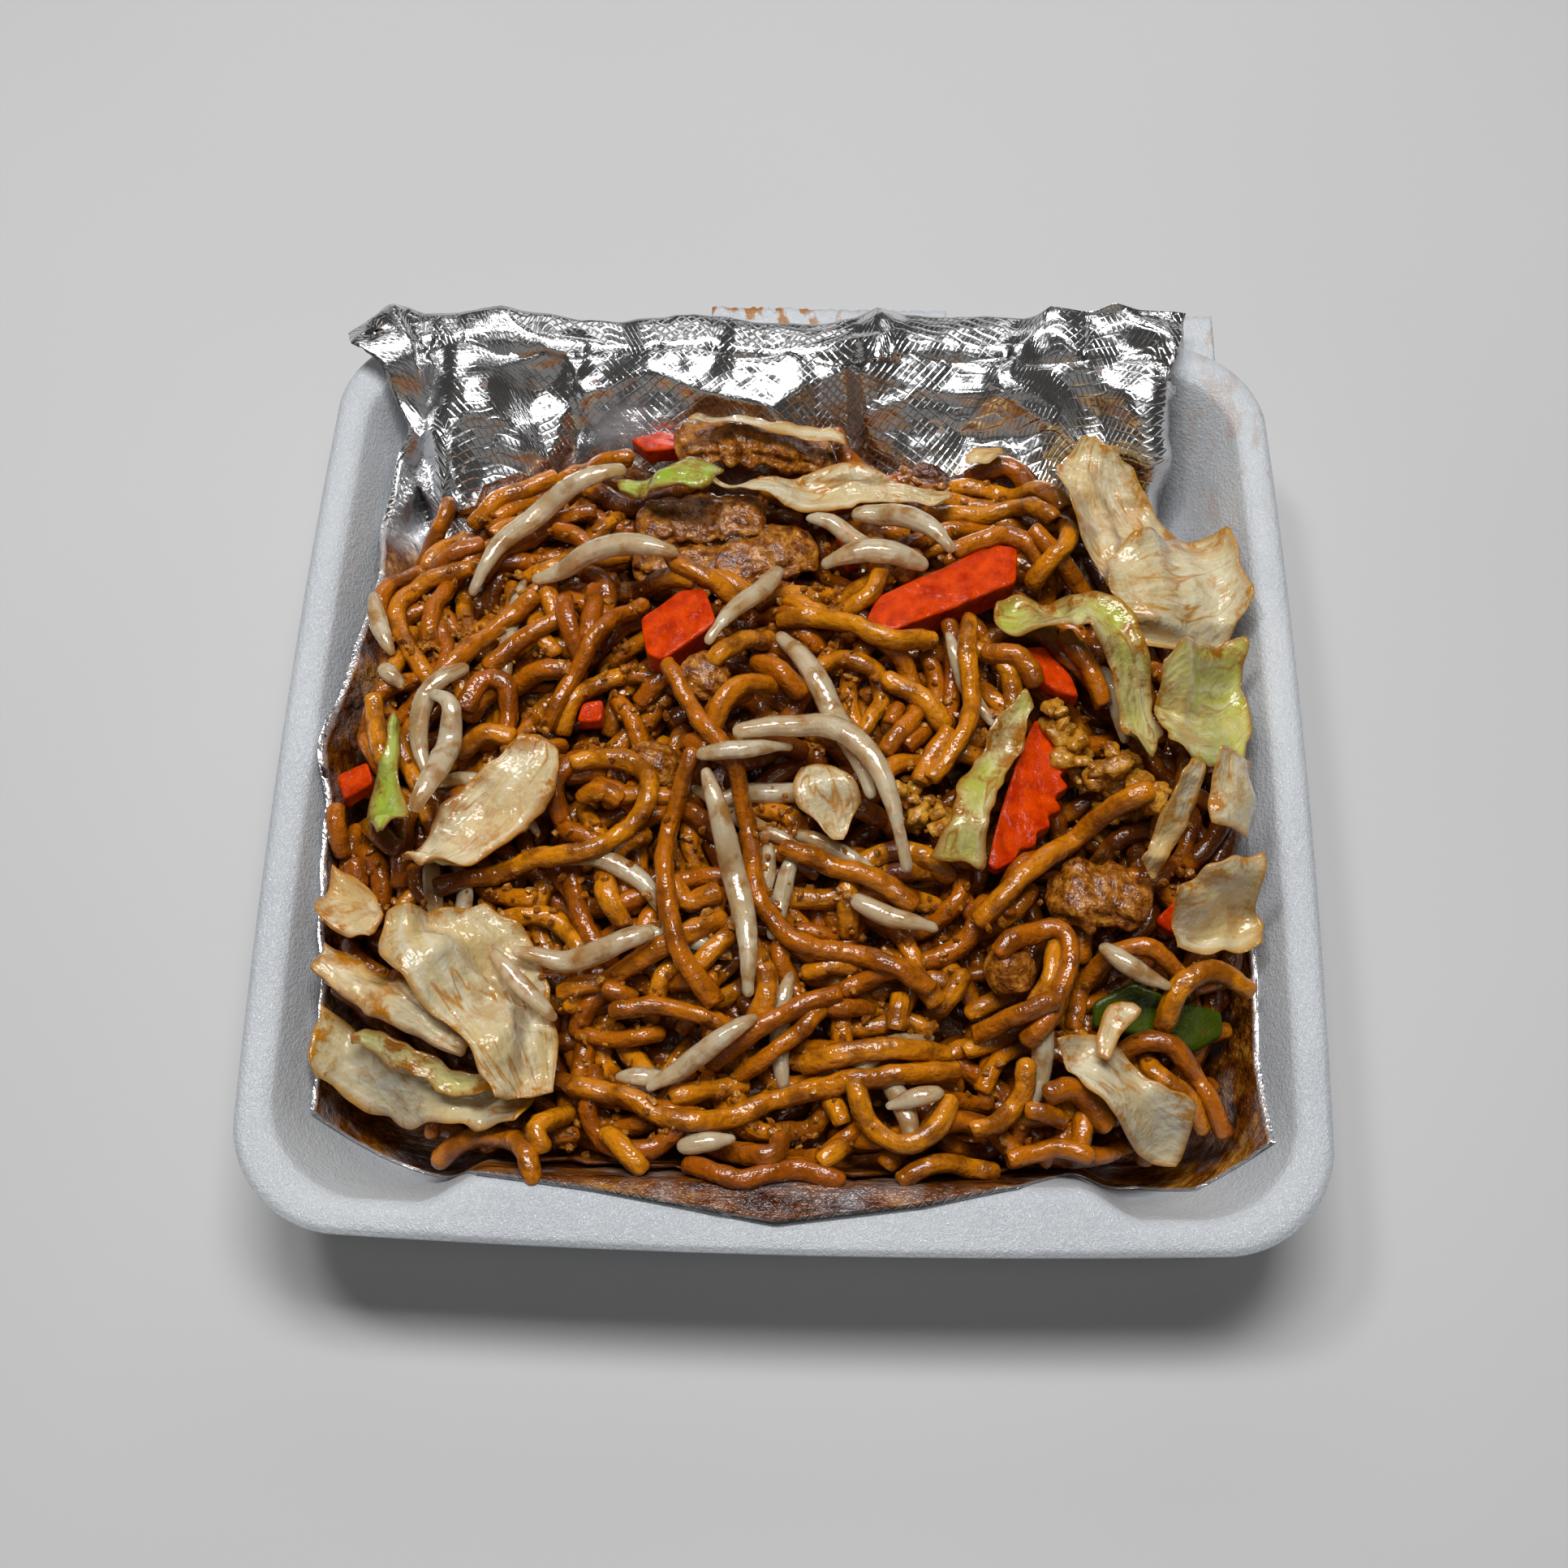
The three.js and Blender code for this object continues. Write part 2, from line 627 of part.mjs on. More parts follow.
slice("carrot_chunk", CARROT, [[-36, 25], [-27, 32], [-21, 32], [-18, 22], [-30, 13], [-34, 15]], 9);
slice("carrot_stick", CARROT, [[16, 26], [22, 24], [52, 40], [53, 50], [47, 51], [19, 34]], 9);
slice("carrot_back", CARROT, [[-40, 91], [-33, 92], [-31, 86], [-36, 82], [-40, 84]], 6);
slice("carrot_left", CARROT, [[-106, -11], [-98, -9], [-96, -15], [-103, -18]], 5);
slice("carrot_small", CARROT, [[-50, 2], [-49, 7], [-44, 8], [-44, 2]], 5);
slice("carrot_sliver", CARROT, [[9, 58], [13, 61], [16, 50], [12, 47]], 5);
slice("red_pepper_right", CARROT, [[82, -39], [88, -33], [99, -33], [93, -38], [86, -42]], 4);
slice("red_pepper_middle", CARROT, [[50, 20], [58, 22], [64, 15], [66, 9], [60, 10], [54, 14]], 5);
slice("carrot_crinkle", CARROT, [
  [56, 4], [61, 1], [60, -4], [62, -7], [60, -12], [60, -17], [57, -21], [55, -26], [50, -29],
  [45, -34], [45, -26], [48, -16], [51, -6],
], 4, 0.8);
slice("green_pepper", PEPPER, [
  [68, -57], [77, -52], [86, -56], [97, -58], [97, -63], [90, -67], [80, -64], [68, -62],
], 3, 0.8);

scrap("meat_slice_lower", MEAT, [[-38, 49], [-22, 48], [-6, 50], [3, 56]], 6, 4, 6.5, 3);
scrap("meat_slice_back", MEAT, [[-33, 82], [-20, 85], [-6, 86], [8, 87]], 6, 4, 6.5, 5);
scrap("meat_right", MEAT, [[58, -40], [69, -37], [80, -42]], 7, 5, 6.5, 6);
scrap("meat_ball", MEAT, [[44, -58], [54, -54]], 6, 5, 3, 8);
scrap("meat_middle", MEAT, [[-25, 12], [-16, 5]], 5, 3, 3, 9);
scrap("meat_left", MEAT, [[-38, -6], [-26, -9]], 5, 3, 4, 12);
scrap("egg_right", EGG, [[63, -3], [70, -8], [77, -15]], 7, 4, 4, 14);
scrap("egg_middle", EGG, [[26, -20], [34, -22]], 5, 3, 4, 15);

coverWithNoodles();

// The noodles that show best, in the order in which they are buried.
noodle([-42, 80], [-55, 79], [-66, 74], [-78, 64]);
noodle([-50, 64], [-62, 62], [-72, 54], [-78, 46]);
noodle([-80, 49], [-91, 45], [-97, 37], [-94, 27], [-86, 15]);
noodle([-63, 42], [-52, 47], [-41, 50]);
noodle([-62, 36], [-72, 27], [-80, 15], [-87, 7]);
noodle([-52, 29], [-62, 24], [-72, 16]);
noodle([-36, 34], [-44, 26], [-50, 15], [-57, 1]);
noodle([32, 66], [44, 64], [54, 66], [62, 58]);
noodle([28, 74], [38, 77], [50, 75], [59, 70], [64, 61], [62, 52]);
noodle([-40, 53], [-31, 45], [-20, 34], [-11, 28], [-5, 20]);
noodle([-4, 28], [4, 28], [12, 25], [22, 20], [33, 22]);
noodle([3, 15], [10, 17], [18, 15], [20, 8], [16, -1]);
noodle([21, 12], [28, 8], [35, 1]);
noodle([41, 30], [40, 18], [41, 6], [37, -6], [31, -14]);
noodle([-99, 10], [-97, 0], [-93, -10]);
noodle([-104, -18], [-101, -28], [-94, -37], [-84, -44]);
noodle([-50, -12], [-42, -8], [-34, -10], [-32, -19], [-38, -28], [-48, -34], [-62, -33], [-72, -37]);
noodle([-4, 8], [-13, 4], [-18, -5]);
noodle([-22, -11], [-27, -26], [-27, -41], [-23, -56], [-15, -66]);
noodle([-3, -30], [8, -33], [19, -38], [29, -43]);
noodle([-14, -46], [-24, -52], [-36, -58], [-50, -62]);
noodle([-38, -67], [-26, -66], [-12, -70]);
noodle([-16, -78], [-6, -72], [4, -66], [12, -63]);
noodle([4, -78], [16, -76], [36, -74]);
noodle([-46, -83], [-34, -86], [-24, -91], [-14, -91], [0, -85], [16, -82], [38, -78]);
noodle([15, -83], [18, -91], [25, -96], [32, -93], [36, -86]);
noodle([-34, -86], [-22, -96], [-8, -98], [6, -95], [12, -88]);
noodle([43, -46], [54, -34], [66, -24], [80, -18]);
noodle([47, -54], [54, -48], [61, -51], [60, -62], [52, -73]);
noodle([41, -91], [48, -88], [52, -80]);
noodle([82, -68], [87, -58], [92, -50], [88, -40], [80, -34]);
noodle([46, -64], [56, -70], [66, -74], [76, -70], [84, -70], [91, -77], [92, -86]);
noodle([55, -84], [63, -82], [70, -88]);
noodle([-29, 11], [-21, -4], [-13, -13], [-9, -28], [-6, -43], [3, -53], [16, -55], [32, -62]);

// Leaves and shreds that lie on the noodles.
scrap("meat_slice_upper", MEAT, [[-40, 57], [-26, 60], [-10, 63]], 5, 2.6, 6.5, 17);
const green = CABBAGE_GREEN;
const stiff = { k: 0.006, span: 14 };
const leaves = [
  ["cabbage_back_right", CABBAGE, [[81, 91], [89, 84], [94, 75], [96, 64], [88, 52]],
    [[74, 95], [70, 84], [66, 72], [67, 58], [74, 46]], { rows: 8, columns: 4, ...stiff }],
  ["cabbage_right_fan", CABBAGE, [[80, 31], [90, 29], [99, 33], [106, 39]],
    [[78, 43], [86, 52], [96, 60], [105, 61]], { rows: 6, columns: 4, ...stiff }],
  ["cabbage_arc", green, [[46, 29], [55, 24], [66, 23], [73, 16], [75, 4], [76, -6]],
    [[46, 36], [58, 39], [71, 36], [80, 24], [84, 8], [82, -6]], { rows: 9, columns: 2 }],
  ["cabbage_right_green", green, [[83, -8], [92, -11], [101, -6], [107, 2]],
    [[83, 13], [91, 19], [99, 24], [106, 27]], { rows: 5, columns: 4, ...stiff }],
  ["cabbage_right_narrow", CABBAGE, [[91, -13], [88, -25], [80, -37]],
    [[88, -12], [83, -22], [77, -34]], { rows: 5, columns: 2 }],
  ["cabbage_right_inner", CABBAGE, [[104, -13], [104, -22], [103, -31]],
    [[93, -14], [92, -22], [93, -30]], { rows: 4, columns: 3, ...stiff }],
  ["cabbage_right_lower", CABBAGE, [[85, -55], [95, -54], [105, -52]],
    [[84, -44], [94, -38], [105, -35]], { rows: 5, columns: 3, ...stiff }],
  ["cabbage_front_right", CABBAGE, [[61, -79], [69, -86], [79, -92], [87, -93]],
    [[58, -72], [68, -71], [79, -77], [90, -84]], { rows: 6, columns: 3 }],
  ["cabbage_curl_right", CABBAGE, [[78, -65], [73, -70], [70, -76]],
    [[73, -63], [68, -67], [67, -75]], { rows: 4, columns: 2, thick: 1.5 }],
  ["cabbage_flat_left", CABBAGE, [[-103, -82], [-90, -89], [-74, -93], [-56, -95]],
    [[-104, -66], [-92, -74], [-76, -82], [-54, -84]], { rows: 7, columns: 3, wave: 0.5, ...stiff }],
  ["cabbage_green_shred", green, [[-95, -74], [-84, -81], [-72, -86], [-61, -86]],
    [[-95, -71], [-84, -75], [-73, -80], [-62, -82]], { rows: 6, columns: 2, thick: 1 }],
  ["cabbage_rib", CABBAGE, [[-104, -60], [-95, -67], [-83, -74], [-70, -80]],
    [[-104, -51], [-93, -58], [-80, -66], [-67, -77]], { rows: 6, columns: 3, thick: 1.8 }],
  ["cabbage_left", CABBAGE, [[-105, -46], [-99, -51], [-91, -53]],
    [[-104, -33], [-96, -38], [-88, -47]], { rows: 4, columns: 3 }],
  ["cabbage_crinkled", CABBAGE, [[-87, -46], [-88, -56], [-79, -66], [-69, -76], [-60, -87]],
    [[-68, -41], [-58, -47], [-52, -59], [-49, -71], [-48, -84]], { rows: 8, columns: 4, wave: 2 }],
  ["cabbage_centre_left", CABBAGE, [[-62, -1], [-72, -10], [-81, -23], [-86, -36]],
    [[-53, -3], [-52, -12], [-62, -27], [-79, -39]], { rows: 7, columns: 3, thick: 1.8, k: 0.01 }],
  ["cabbage_by_carrot", green, [[53, 10], [44, -2], [37, -18], [31, -32]],
    [[55, 7], [51, -6], [46, -17], [43, -34]], { rows: 7, columns: 2 }],
  ["cabbage_behind", CABBAGE, [[-29, 87], [-14, 90], [-2, 91], [9, 88]],
    [[-27, 92], [-14, 95], [-1, 97], [9, 92]], { rows: 5, columns: 2 }],
  ["cabbage_arch", CABBAGE, [[-24, 75], [-15, 69], [-3, 66], [8, 67], [20, 74], [37, 71]],
    [[-25, 80], [-15, 73], [-4, 76], [10, 83], [24, 80], [38, 76]], { rows: 9, columns: 2, ...stiff }],
  ["cabbage_curl_middle", CABBAGE, [[2, -10], [1, -18], [8, -28]],
    [[10, -11], [15, -18], [13, -29]], { rows: 4, columns: 3, wave: 2.5 }],
  ["cabbage_chip_back", CABBAGE, [[42, 81], [46, 80], [50, 82]],
    [[42, 86], [45, 89], [50, 87]], { rows: 3, columns: 2, ...stiff }],
  ["spring_onion_back", ONION, [[-40, 73], [-30, 69], [-21, 71]],
    [[-44, 79], [-32, 79], [-20, 76]], { rows: 4, columns: 2, thick: 1.6, ...stiff }],
  ["spring_onion_left", ONION, [[-92, 7], [-94, -8], [-96, -19], [-90, -29]],
    [[-90, 5], [-89, -8], [-87, -20], [-88, -28]], { rows: 6, columns: 2, thick: 1.4 }],
];
leaves.forEach(([name, finish, right, left, shape], seed) => {
  top(name, leaf({ right, left, seed, ...shape }), finish);
});

// Bean sprouts lie last, thick in the middle and thin at their ends.
const sprouts = [
  [2.6, [-43, 72], [-58, 66], [-71, 55], [-79, 40]],
  [2.6, [10, 67], [20, 64], [30, 56], [37, 48]],
  [2.2, [3, 63], [10, 58], [14, 52], [20, 49]],
  [2.8, [6, 43], [18, 45], [31, 43]],
  [2.2, [-4, 42], [-8, 33], [-14, 25], [-20, 15]],
  [2.7, [-63, 39], [-46, 43], [-28, 39]],
  [2.6, [-4, 23], [4, 11], [11, -4], [18, -22]],
  [2.5, [-13, -8], [2, -6], [12, -9], [20, -19], [26, -38]],
  [2.6, [-19, -17], [-14, -32], [-9, -50], [-8, -65]],
  [2.7, [-83, 5], [-78, 1], [-79, -14], [-83, -27]],
  [2.5, [-60, -55], [-45, -57], [-29, -52]],
  [2.2, [-29, -85], [-19, -79], [-6, -70]],
  [1.9, [22, -88], [34, -85]],
  [2.1, [69, -50], [75, -55], [84, -59]],
  [2.2, [14, -42], [22, -46], [33, -48]],
];
sprouts.forEach(([wide, ...path], i) => {
  top(`bean_sprout_${i + 1}`, strand({ path, wide, sides: 5, taper: 0.45, step: 8, k: 0.012 }), SPROUT);
});

place("noodles", fuse(heap), NOODLE);

export default group;
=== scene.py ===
import math

import bpy
import numpy as np
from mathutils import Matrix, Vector


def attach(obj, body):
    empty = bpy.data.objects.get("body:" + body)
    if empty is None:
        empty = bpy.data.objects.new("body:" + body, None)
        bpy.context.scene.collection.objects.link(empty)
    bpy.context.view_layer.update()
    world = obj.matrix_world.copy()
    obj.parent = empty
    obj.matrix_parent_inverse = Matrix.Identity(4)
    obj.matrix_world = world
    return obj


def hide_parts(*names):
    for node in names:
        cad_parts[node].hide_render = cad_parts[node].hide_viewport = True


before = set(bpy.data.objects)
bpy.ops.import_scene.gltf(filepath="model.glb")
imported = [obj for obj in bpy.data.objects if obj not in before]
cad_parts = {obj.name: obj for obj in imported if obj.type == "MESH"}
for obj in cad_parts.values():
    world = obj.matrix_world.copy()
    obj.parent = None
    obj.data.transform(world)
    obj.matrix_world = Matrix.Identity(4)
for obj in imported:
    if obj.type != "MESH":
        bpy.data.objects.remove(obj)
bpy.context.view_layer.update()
MM = 0.001

# ---- Camera -------------------------------------------------------------------------------
# A phone held over the near side of the tray and tipped well down, so that it looks into the
# heap and sees little of the tray's front wall.

LOOK_AT = Vector((-1.7, -11.2, 40)) * MM
CAMERA_AZIMUTH = math.radians(-1.47)
CAMERA_ELEVATION = math.radians(64)
CAMERA_DISTANCE = 469 * MM
FOCAL_IN_PICTURE_WIDTHS = 2515 / 1932

camera_data = bpy.data.cameras.new("camera")
camera_data.lens = camera_data.sensor_width * FOCAL_IN_PICTURE_WIDTHS
camera_data.clip_start = 0.01
camera = bpy.data.objects.new("camera", camera_data)
bpy.context.scene.collection.objects.link(camera)
sight = Vector((
    math.sin(CAMERA_AZIMUTH) * math.cos(CAMERA_ELEVATION),
    math.cos(CAMERA_AZIMUTH) * math.cos(CAMERA_ELEVATION),
    -math.sin(CAMERA_ELEVATION),
))
camera.location = LOOK_AT - sight * CAMERA_DISTANCE
camera.rotation_euler = sight.to_track_quat("-Z", "Y").to_euler()
bpy.context.scene.camera = camera

# ---- Foam tray ----------------------------------------------------------------------------
# The base half of a hinged box, thermoformed from expanded polystyrene: a rolled rim, flared
# walls and a flat floor. The lid has been torn off and left two ragged tabs at the back.

TRAY_HALF = 116
TRAY_BOW = 3
TRAY_CORNER = 23
CORNER_TIGHTENING = 0.3
LIP_SHELF = 7
LIP_FLAT, LIP_END = 62, 76  # half widths between which the front lip runs out
LIP_STARTS, LIP_FULL = 1, 5  # insets between which it steps in from the rim
TRAY_PROFILE = [
    (24, 0), (22.5, 1), (8, 33), (6.5, 35.5), (1.5, 36.5), (0, 37.5), (0, 38.8),
    (1.2, 40), (4, 40.2), (6.5, 39.6), (8.5, 38), (21, 8), (27, 3),
]
OUTER_PROFILE, INNER_PROFILE = TRAY_PROFILE[:7], TRAY_PROFILE[6:]
SIDE_STEPS = 56
CORNER_STEPS = 22
HINGE_TABS = [(-24, 37), (98, 106)]
HINGE_REACH = 13
HINGE_OVERLAP = 6
HINGE_TOP = 37.5
HINGE_THICK = 2.6
HINGE_TEAR = 0.8
HINGE_BEVEL = 0.6
HINGE_ROWS = 12
FOAM_GREY, FOAM_WHITE = (0.56, 0.59, 0.625), (0.63, 0.655, 0.685)
# The lighter colour of the glossy beads is a painted glint.
PAINTED_BEAD_GLINT = (0.74, 0.77, 0.80)
DRIED_SAUCE = (0.46, 0.20, 0.05)


def smoothstep(low, high, value):
    t = np.clip((value - low) / (high - low), 0, 1)
    return t * t * (3 - 2 * t)


def round_off(points, passes=3):
    """Cuts the corners of an open line of points, again and again."""
    line = np.array(points, float)
    for _ in range(passes):
        near = 0.75 * line[:-1] + 0.25 * line[1:]
        far = 0.25 * line[:-1] + 0.75 * line[1:]
        line = np.vstack([line[:1], np.stack([near, far], 1).reshape(-1, line.shape[1]), line[-1:]])
    return line


def lip_at(inset, shelf):
    """How far the wall stands in from the rim at this inset."""
    return shelf * smoothstep(LIP_STARTS, LIP_FULL, inset)


def tray_ring(inset, height, shelf):
    """One turn round the tray: bowed sides, round corners, and the lip pushed in at the front."""
    half = TRAY_HALF - inset
    radius = TRAY_CORNER - CORNER_TIGHTENING * inset
    straight = half - radius
    side = np.stack([np.linspace(-straight, straight, SIDE_STEPS, False), np.full(SIDE_STEPS, -half)], 1)
    angle = np.linspace(-math.pi / 2, 0, CORNER_STEPS, False)
    corner = np.stack([straight + radius * np.cos(angle), -straight + radius * np.sin(angle)], 1)
    ring = []
    for turn in range(4):
        c, s = round(math.cos(turn * math.pi / 2)), round(math.sin(turn * math.pi / 2))
        quarter = np.vstack([side, corner]) @ np.array([[c, s], [-s, c]])
        bow = 1 + TRAY_BOW / TRAY_HALF * (1 - (quarter[:, ::-1] / TRAY_HALF) ** 2)
        push = shelf * (1 - smoothstep(LIP_FLAT, LIP_END, np.abs(quarter[:, 0]))) * (turn == 0)
        ring.append(quarter * bow + np.stack([0 * push, push], 1))
    ring = np.vstack(ring)
    return np.column_stack([ring, np.full(len(ring), height)])


def loft(rings):
    """Vertices and faces of a closed body from rings of equal count."""
    count, around = len(rings), len(rings[0])
    corners = np.vstack(list(rings) + [rings[0].mean(0)[None], rings[-1].mean(0)[None]])
    faces = []
    for r in range(count - 1):
        for k in range(around):
            a, b = r * around + k, r * around + (k + 1) % around
            faces.append((a, b, b + around, a + around))
    first, last = count * around, count * around + 1
    for k in range(around):
        after = (k + 1) % around
        faces.append((first, after, k))
        faces.append((last, (count - 1) * around + k, (count - 1) * around + after))
    return corners, faces


def closed_sheet(low, high):
    """A thin closed body between two grids of points, rows by columns."""
    rows, columns = low.shape[:2]
    corners = np.vstack([low.reshape(-1, 3), high.reshape(-1, 3)])
    at = np.arange(rows * columns).reshape(rows, columns)
    a, b, c, d = at[:-1, :-1], at[:-1, 1:], at[1:, 1:], at[1:, :-1]
    quads = np.stack([a, b, c, d], -1).reshape(-1, 4)
    rim = np.concatenate([at[0, :-1], at[:-1, -1], at[-1, :0:-1], at[:0:-1, 0]])
    after = np.roll(rim, -1)
    shift = rows * columns
    walls = np.stack([rim, after, after + shift, rim + shift], 1)
    return corners, np.vstack([quads + shift, quads[:, ::-1], walls]).tolist()


def join_bodies(bodies):
    """Several bodies of (corners, faces) as one."""
    corners, faces, start = [], [], 0
    for body_corners, body_faces in bodies:
        corners.append(body_corners)
        faces += [tuple(k + start for k in face) for face in body_faces]
        start += len(body_corners)
    return np.vstack(corners), faces


def make_piece(name, corners, faces, material):
    """A smooth mesh object at the origin, from corners in millimetres."""
    mesh = bpy.data.meshes.new(name)
    mesh.from_pydata((np.asarray(corners, float) * MM).tolist(), [], faces)
    mesh.polygons.foreach_set("use_smooth", [True] * len(mesh.polygons))
    mesh.materials.append(material)
    piece = bpy.data.objects.new(name, mesh)
    bpy.context.scene.collection.objects.link(piece)
    return piece


def mark_points(mesh, name, values):
    """Keeps a number or a vector for each point of a mesh, for its material to read."""
    values = np.asarray(values, np.float32)
    kind, field = ("FLOAT_VECTOR", "vector") if values.ndim == 2 else ("FLOAT", "value")
    mesh.attributes.new(name, kind, "POINT").data.foreach_set(field, values.ravel())


def start_material(name, color, roughness, **sockets):
    """A material with one Principled shader; returns it, its node tree and the shader."""
    material = bpy.data.materials.new(name)
    material.use_nodes = True
    tree = material.node_tree
    shader = tree.nodes["Principled BSDF"]
    shader.inputs["Base Color"].default_value = (*color, 1)
    shader.inputs["Roughness"].default_value = roughness
    shader.inputs["Coat IOR"].default_value = 1.45
    for socket, value in sockets.items():
        shader.inputs[socket.replace("_", " ")].default_value = value
    return material, tree, shader


def add_node(tree, kind, inputs=None, **settings):
    """A node whose inputs are values or other nodes' output sockets."""
    node = tree.nodes.new(kind)
    for key, value in settings.items():
        setattr(node, key, value)
    for key, value in (inputs or {}).items():
        if isinstance(value, bpy.types.NodeSocket):
            tree.links.new(value, node.inputs[key])
        else:
            node.inputs[key].default_value = value
    return node


def ramp(tree, factor, *stops):
    """A colour ramp with stops of (position, grey value or colour)."""
    node = add_node(tree, "ShaderNodeValToRGB", {"Fac": factor})
    bar = node.color_ramp.elements
    while len(bar) < len(stops):
        bar.new(0.5)
    for element, (position, value) in zip(bar, stops):
        element.position = position
        element.color = (*value, 1) if isinstance(value, tuple) else (value, value, value, 1)
    return node.outputs["Color"]


def mix(tree, factor, one, other):
    node = add_node(tree, "ShaderNodeMix", data_type="RGBA")
    for socket, value in ((node.inputs[0], factor), (node.inputs[6], one), (node.inputs[7], other)):
        if isinstance(value, bpy.types.NodeSocket):
            tree.links.new(value, socket)
        else:
            socket.default_value = (*value, 1) if isinstance(value, tuple) else value
    return node.outputs[2]


def calculate(tree, operation, *values, clamp=False):
    """The result of a Math node on numbers or sockets."""
    inputs = dict(enumerate(values))
    return add_node(tree, "ShaderNodeMath", inputs, operation=operation, use_clamp=clamp).outputs[0]


def noise(tree, scale, detail=3, stretch=(1, 1, 1), coordinate=None, rough=0.5):
    """Noise with scale in waves per millimetre, on the piece's own coordinates or on given ones."""
    place = coordinate or add_node(tree, "ShaderNodeTexCoord").outputs["Object"]
    per_metre = tuple(s * scale / MM for s in stretch)
    mapping = add_node(tree, "ShaderNodeMapping", {"Vector": place, "Scale": per_metre})
    node = add_node(tree, "ShaderNodeTexNoise", {
        "Vector": mapping.outputs["Vector"], "Scale": 1.0, "Detail": detail, "Roughness": rough,
    })
    return node.outputs["Fac"]


def cells(tree, scale, output="Distance"):
    """Voronoi cells, with scale in cells per millimetre."""
    place = add_node(tree, "ShaderNodeTexCoord").outputs["Object"]
    node = add_node(tree, "ShaderNodeTexVoronoi", {"Vector": place, "Scale": scale / MM})
    return node.outputs[output]


def attribute(tree, name, output="Fac"):
    return add_node(tree, "ShaderNodeAttribute", attribute_name=name).outputs[output]


def bump(tree, shader, *layers, film=0.5):
    """Bump layers of (height socket, depth in millimetres), and the share of them the wet film keeps."""
    for share, socket in ((1.0, "Normal"), (film, "Coat Normal")):
        normal = None
        for height, depth in layers:
            inputs = {"Height": height, "Distance": share * depth * MM, "Strength": 1.0}
            if normal:
                inputs["Normal"] = normal
            normal = add_node(tree, "ShaderNodeBump", inputs).outputs["Normal"]
        tree.links.new(normal, shader.inputs[socket])


foam, tree, shader = start_material("expanded_foam", FOAM_GREY, 0.34, Subsurface_Weight=0.25,
                                    Subsurface_Scale=2 * MM, Specular_IOR_Level=0.8)
shader.inputs["Subsurface Radius"].default_value = (1, 1, 1)
beads = cells(tree, 1.1)
# Some beads are glossier, and are also painted lighter: a painted glint on each such bead.
bead_gloss_and_painted_glint = ramp(tree, cells(tree, 3.2, output="Color"), (0.0, 0.0), (0.78, 0.0), (0.9, 1.0))
patches = ramp(tree, noise(tree, 0.03, 2), (0.35, FOAM_GREY), (0.7, FOAM_WHITE))
patches_with_painted_glints = mix(tree, bead_gloss_and_painted_glint, patches, PAINTED_BEAD_GLINT)
spots = ramp(tree, noise(tree, 0.16, 4, (1.6, 0.7, 1)), (0.53, 0.0), (0.60, 1.0))
smear = calculate(tree, "MULTIPLY", spots, attribute(tree, "smear"))
tree.links.new(mix(tree, smear, patches_with_painted_glints, DRIED_SAUCE), shader.inputs["Base Color"])
tree.links.new(ramp(tree, bead_gloss_and_painted_glint, (0, 0.33), (1, 0.14)), shader.inputs["Roughness"])
bump(tree, shader, (beads, 0.14), (cells(tree, 3.2), 0.12), (noise(tree, 0.05, 3), 0.9))

outside = round_off(OUTER_PROFILE)
inside = round_off(INNER_PROFILE)
profile = [(*point, 0) for point in outside[:-1]] + [(*point, LIP_SHELF) for point in inside]
rings = [tray_ring(inset, z, lip_at(inset, shelf)) for inset, z, shelf in profile]


def torn_tab(x0, x1, seed):
    """A strip of the hinge whose back edge was torn off."""
    x = np.linspace(x0, x1, int(x1 - x0) + 2)
    edge = TRAY_HALF + HINGE_REACH - HINGE_TEAR * np.random.default_rng(seed).random(len(x))
    row = np.arange(HINGE_ROWS + 1)[:, None]
    grids = []
    for z, bevel in ((HINGE_TOP - HINGE_THICK, 0), (HINGE_TOP, HINGE_BEVEL)):
        y = TRAY_HALF - HINGE_OVERLAP + (edge - bevel - TRAY_HALF + HINGE_OVERLAP) * row / HINGE_ROWS
        grids.append(np.stack(np.broadcast_arrays(x, y, z), -1))
    return closed_sheet(*grids)


tabs = [torn_tab(x0, x1, seed) for seed, (x0, x1) in enumerate(HINGE_TABS)]
tray_corners, tray_faces = join_bodies([loft(rings)] + tabs)
tray = make_piece("foam_tray_shell", tray_corners, tray_faces, foam)
on_hinge = (tray_corners[:, 1] > TRAY_HALF + 1) * (1 - smoothstep(-4, 22, tray_corners[:, 0]))
beside_food = smoothstep(95, 104, tray_corners[:, 0]) * smoothstep(60, 80, tray_corners[:, 1])
mark_points(tray.data, "smear", np.maximum(on_hinge, 0.25 * beside_food))
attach(tray, "root")
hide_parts("foam_tray")

# ---- Foil lining --------------------------------------------------------------------------
# A torn-off length of kitchen foil, embossed with small diamonds, pressed into the tray. It
# climbs the back wall and hangs over the rim, and sauce has browned it round the food.

FOIL_LEFT = [
    (-90, -104), (-65, -106), (-35, -108), (-5, -110.5), (15, -109), (45, -106.5), (70, -105),
    (86, -104), (97, -107), (104, -113), (112, -116),
]
FOIL_RIGHT = [
    (-92, 106), (-70, 105), (-50, 106), (-30, 105.5), (-5, 102), (25, 97), (50, 94), (80, 94),
    (92, 90), (104, 96), (118, 98),
]
FOIL_FRONT = [
    (-104, -88), (-90, -93), (-70, -99.5), (-64, -104), (-40, -107), (-1, -113.5), (30, -109),
    (50, -104), (62, -97), (80, -95), (91, -98), (106, -91),
]
FOIL_BACK = [(-116, 112), (-104, 118.5), (-80, 116.5), (-40, 118), (0, 120.5), (60, 121), (98, 122)]
FOIL_FOLDS = [(-109, 104, 8, 4), (92, 120, 14, 6), (72, 122, 12, 3), (88, 96, 9, 3), (-84, 92, 8, 2)]
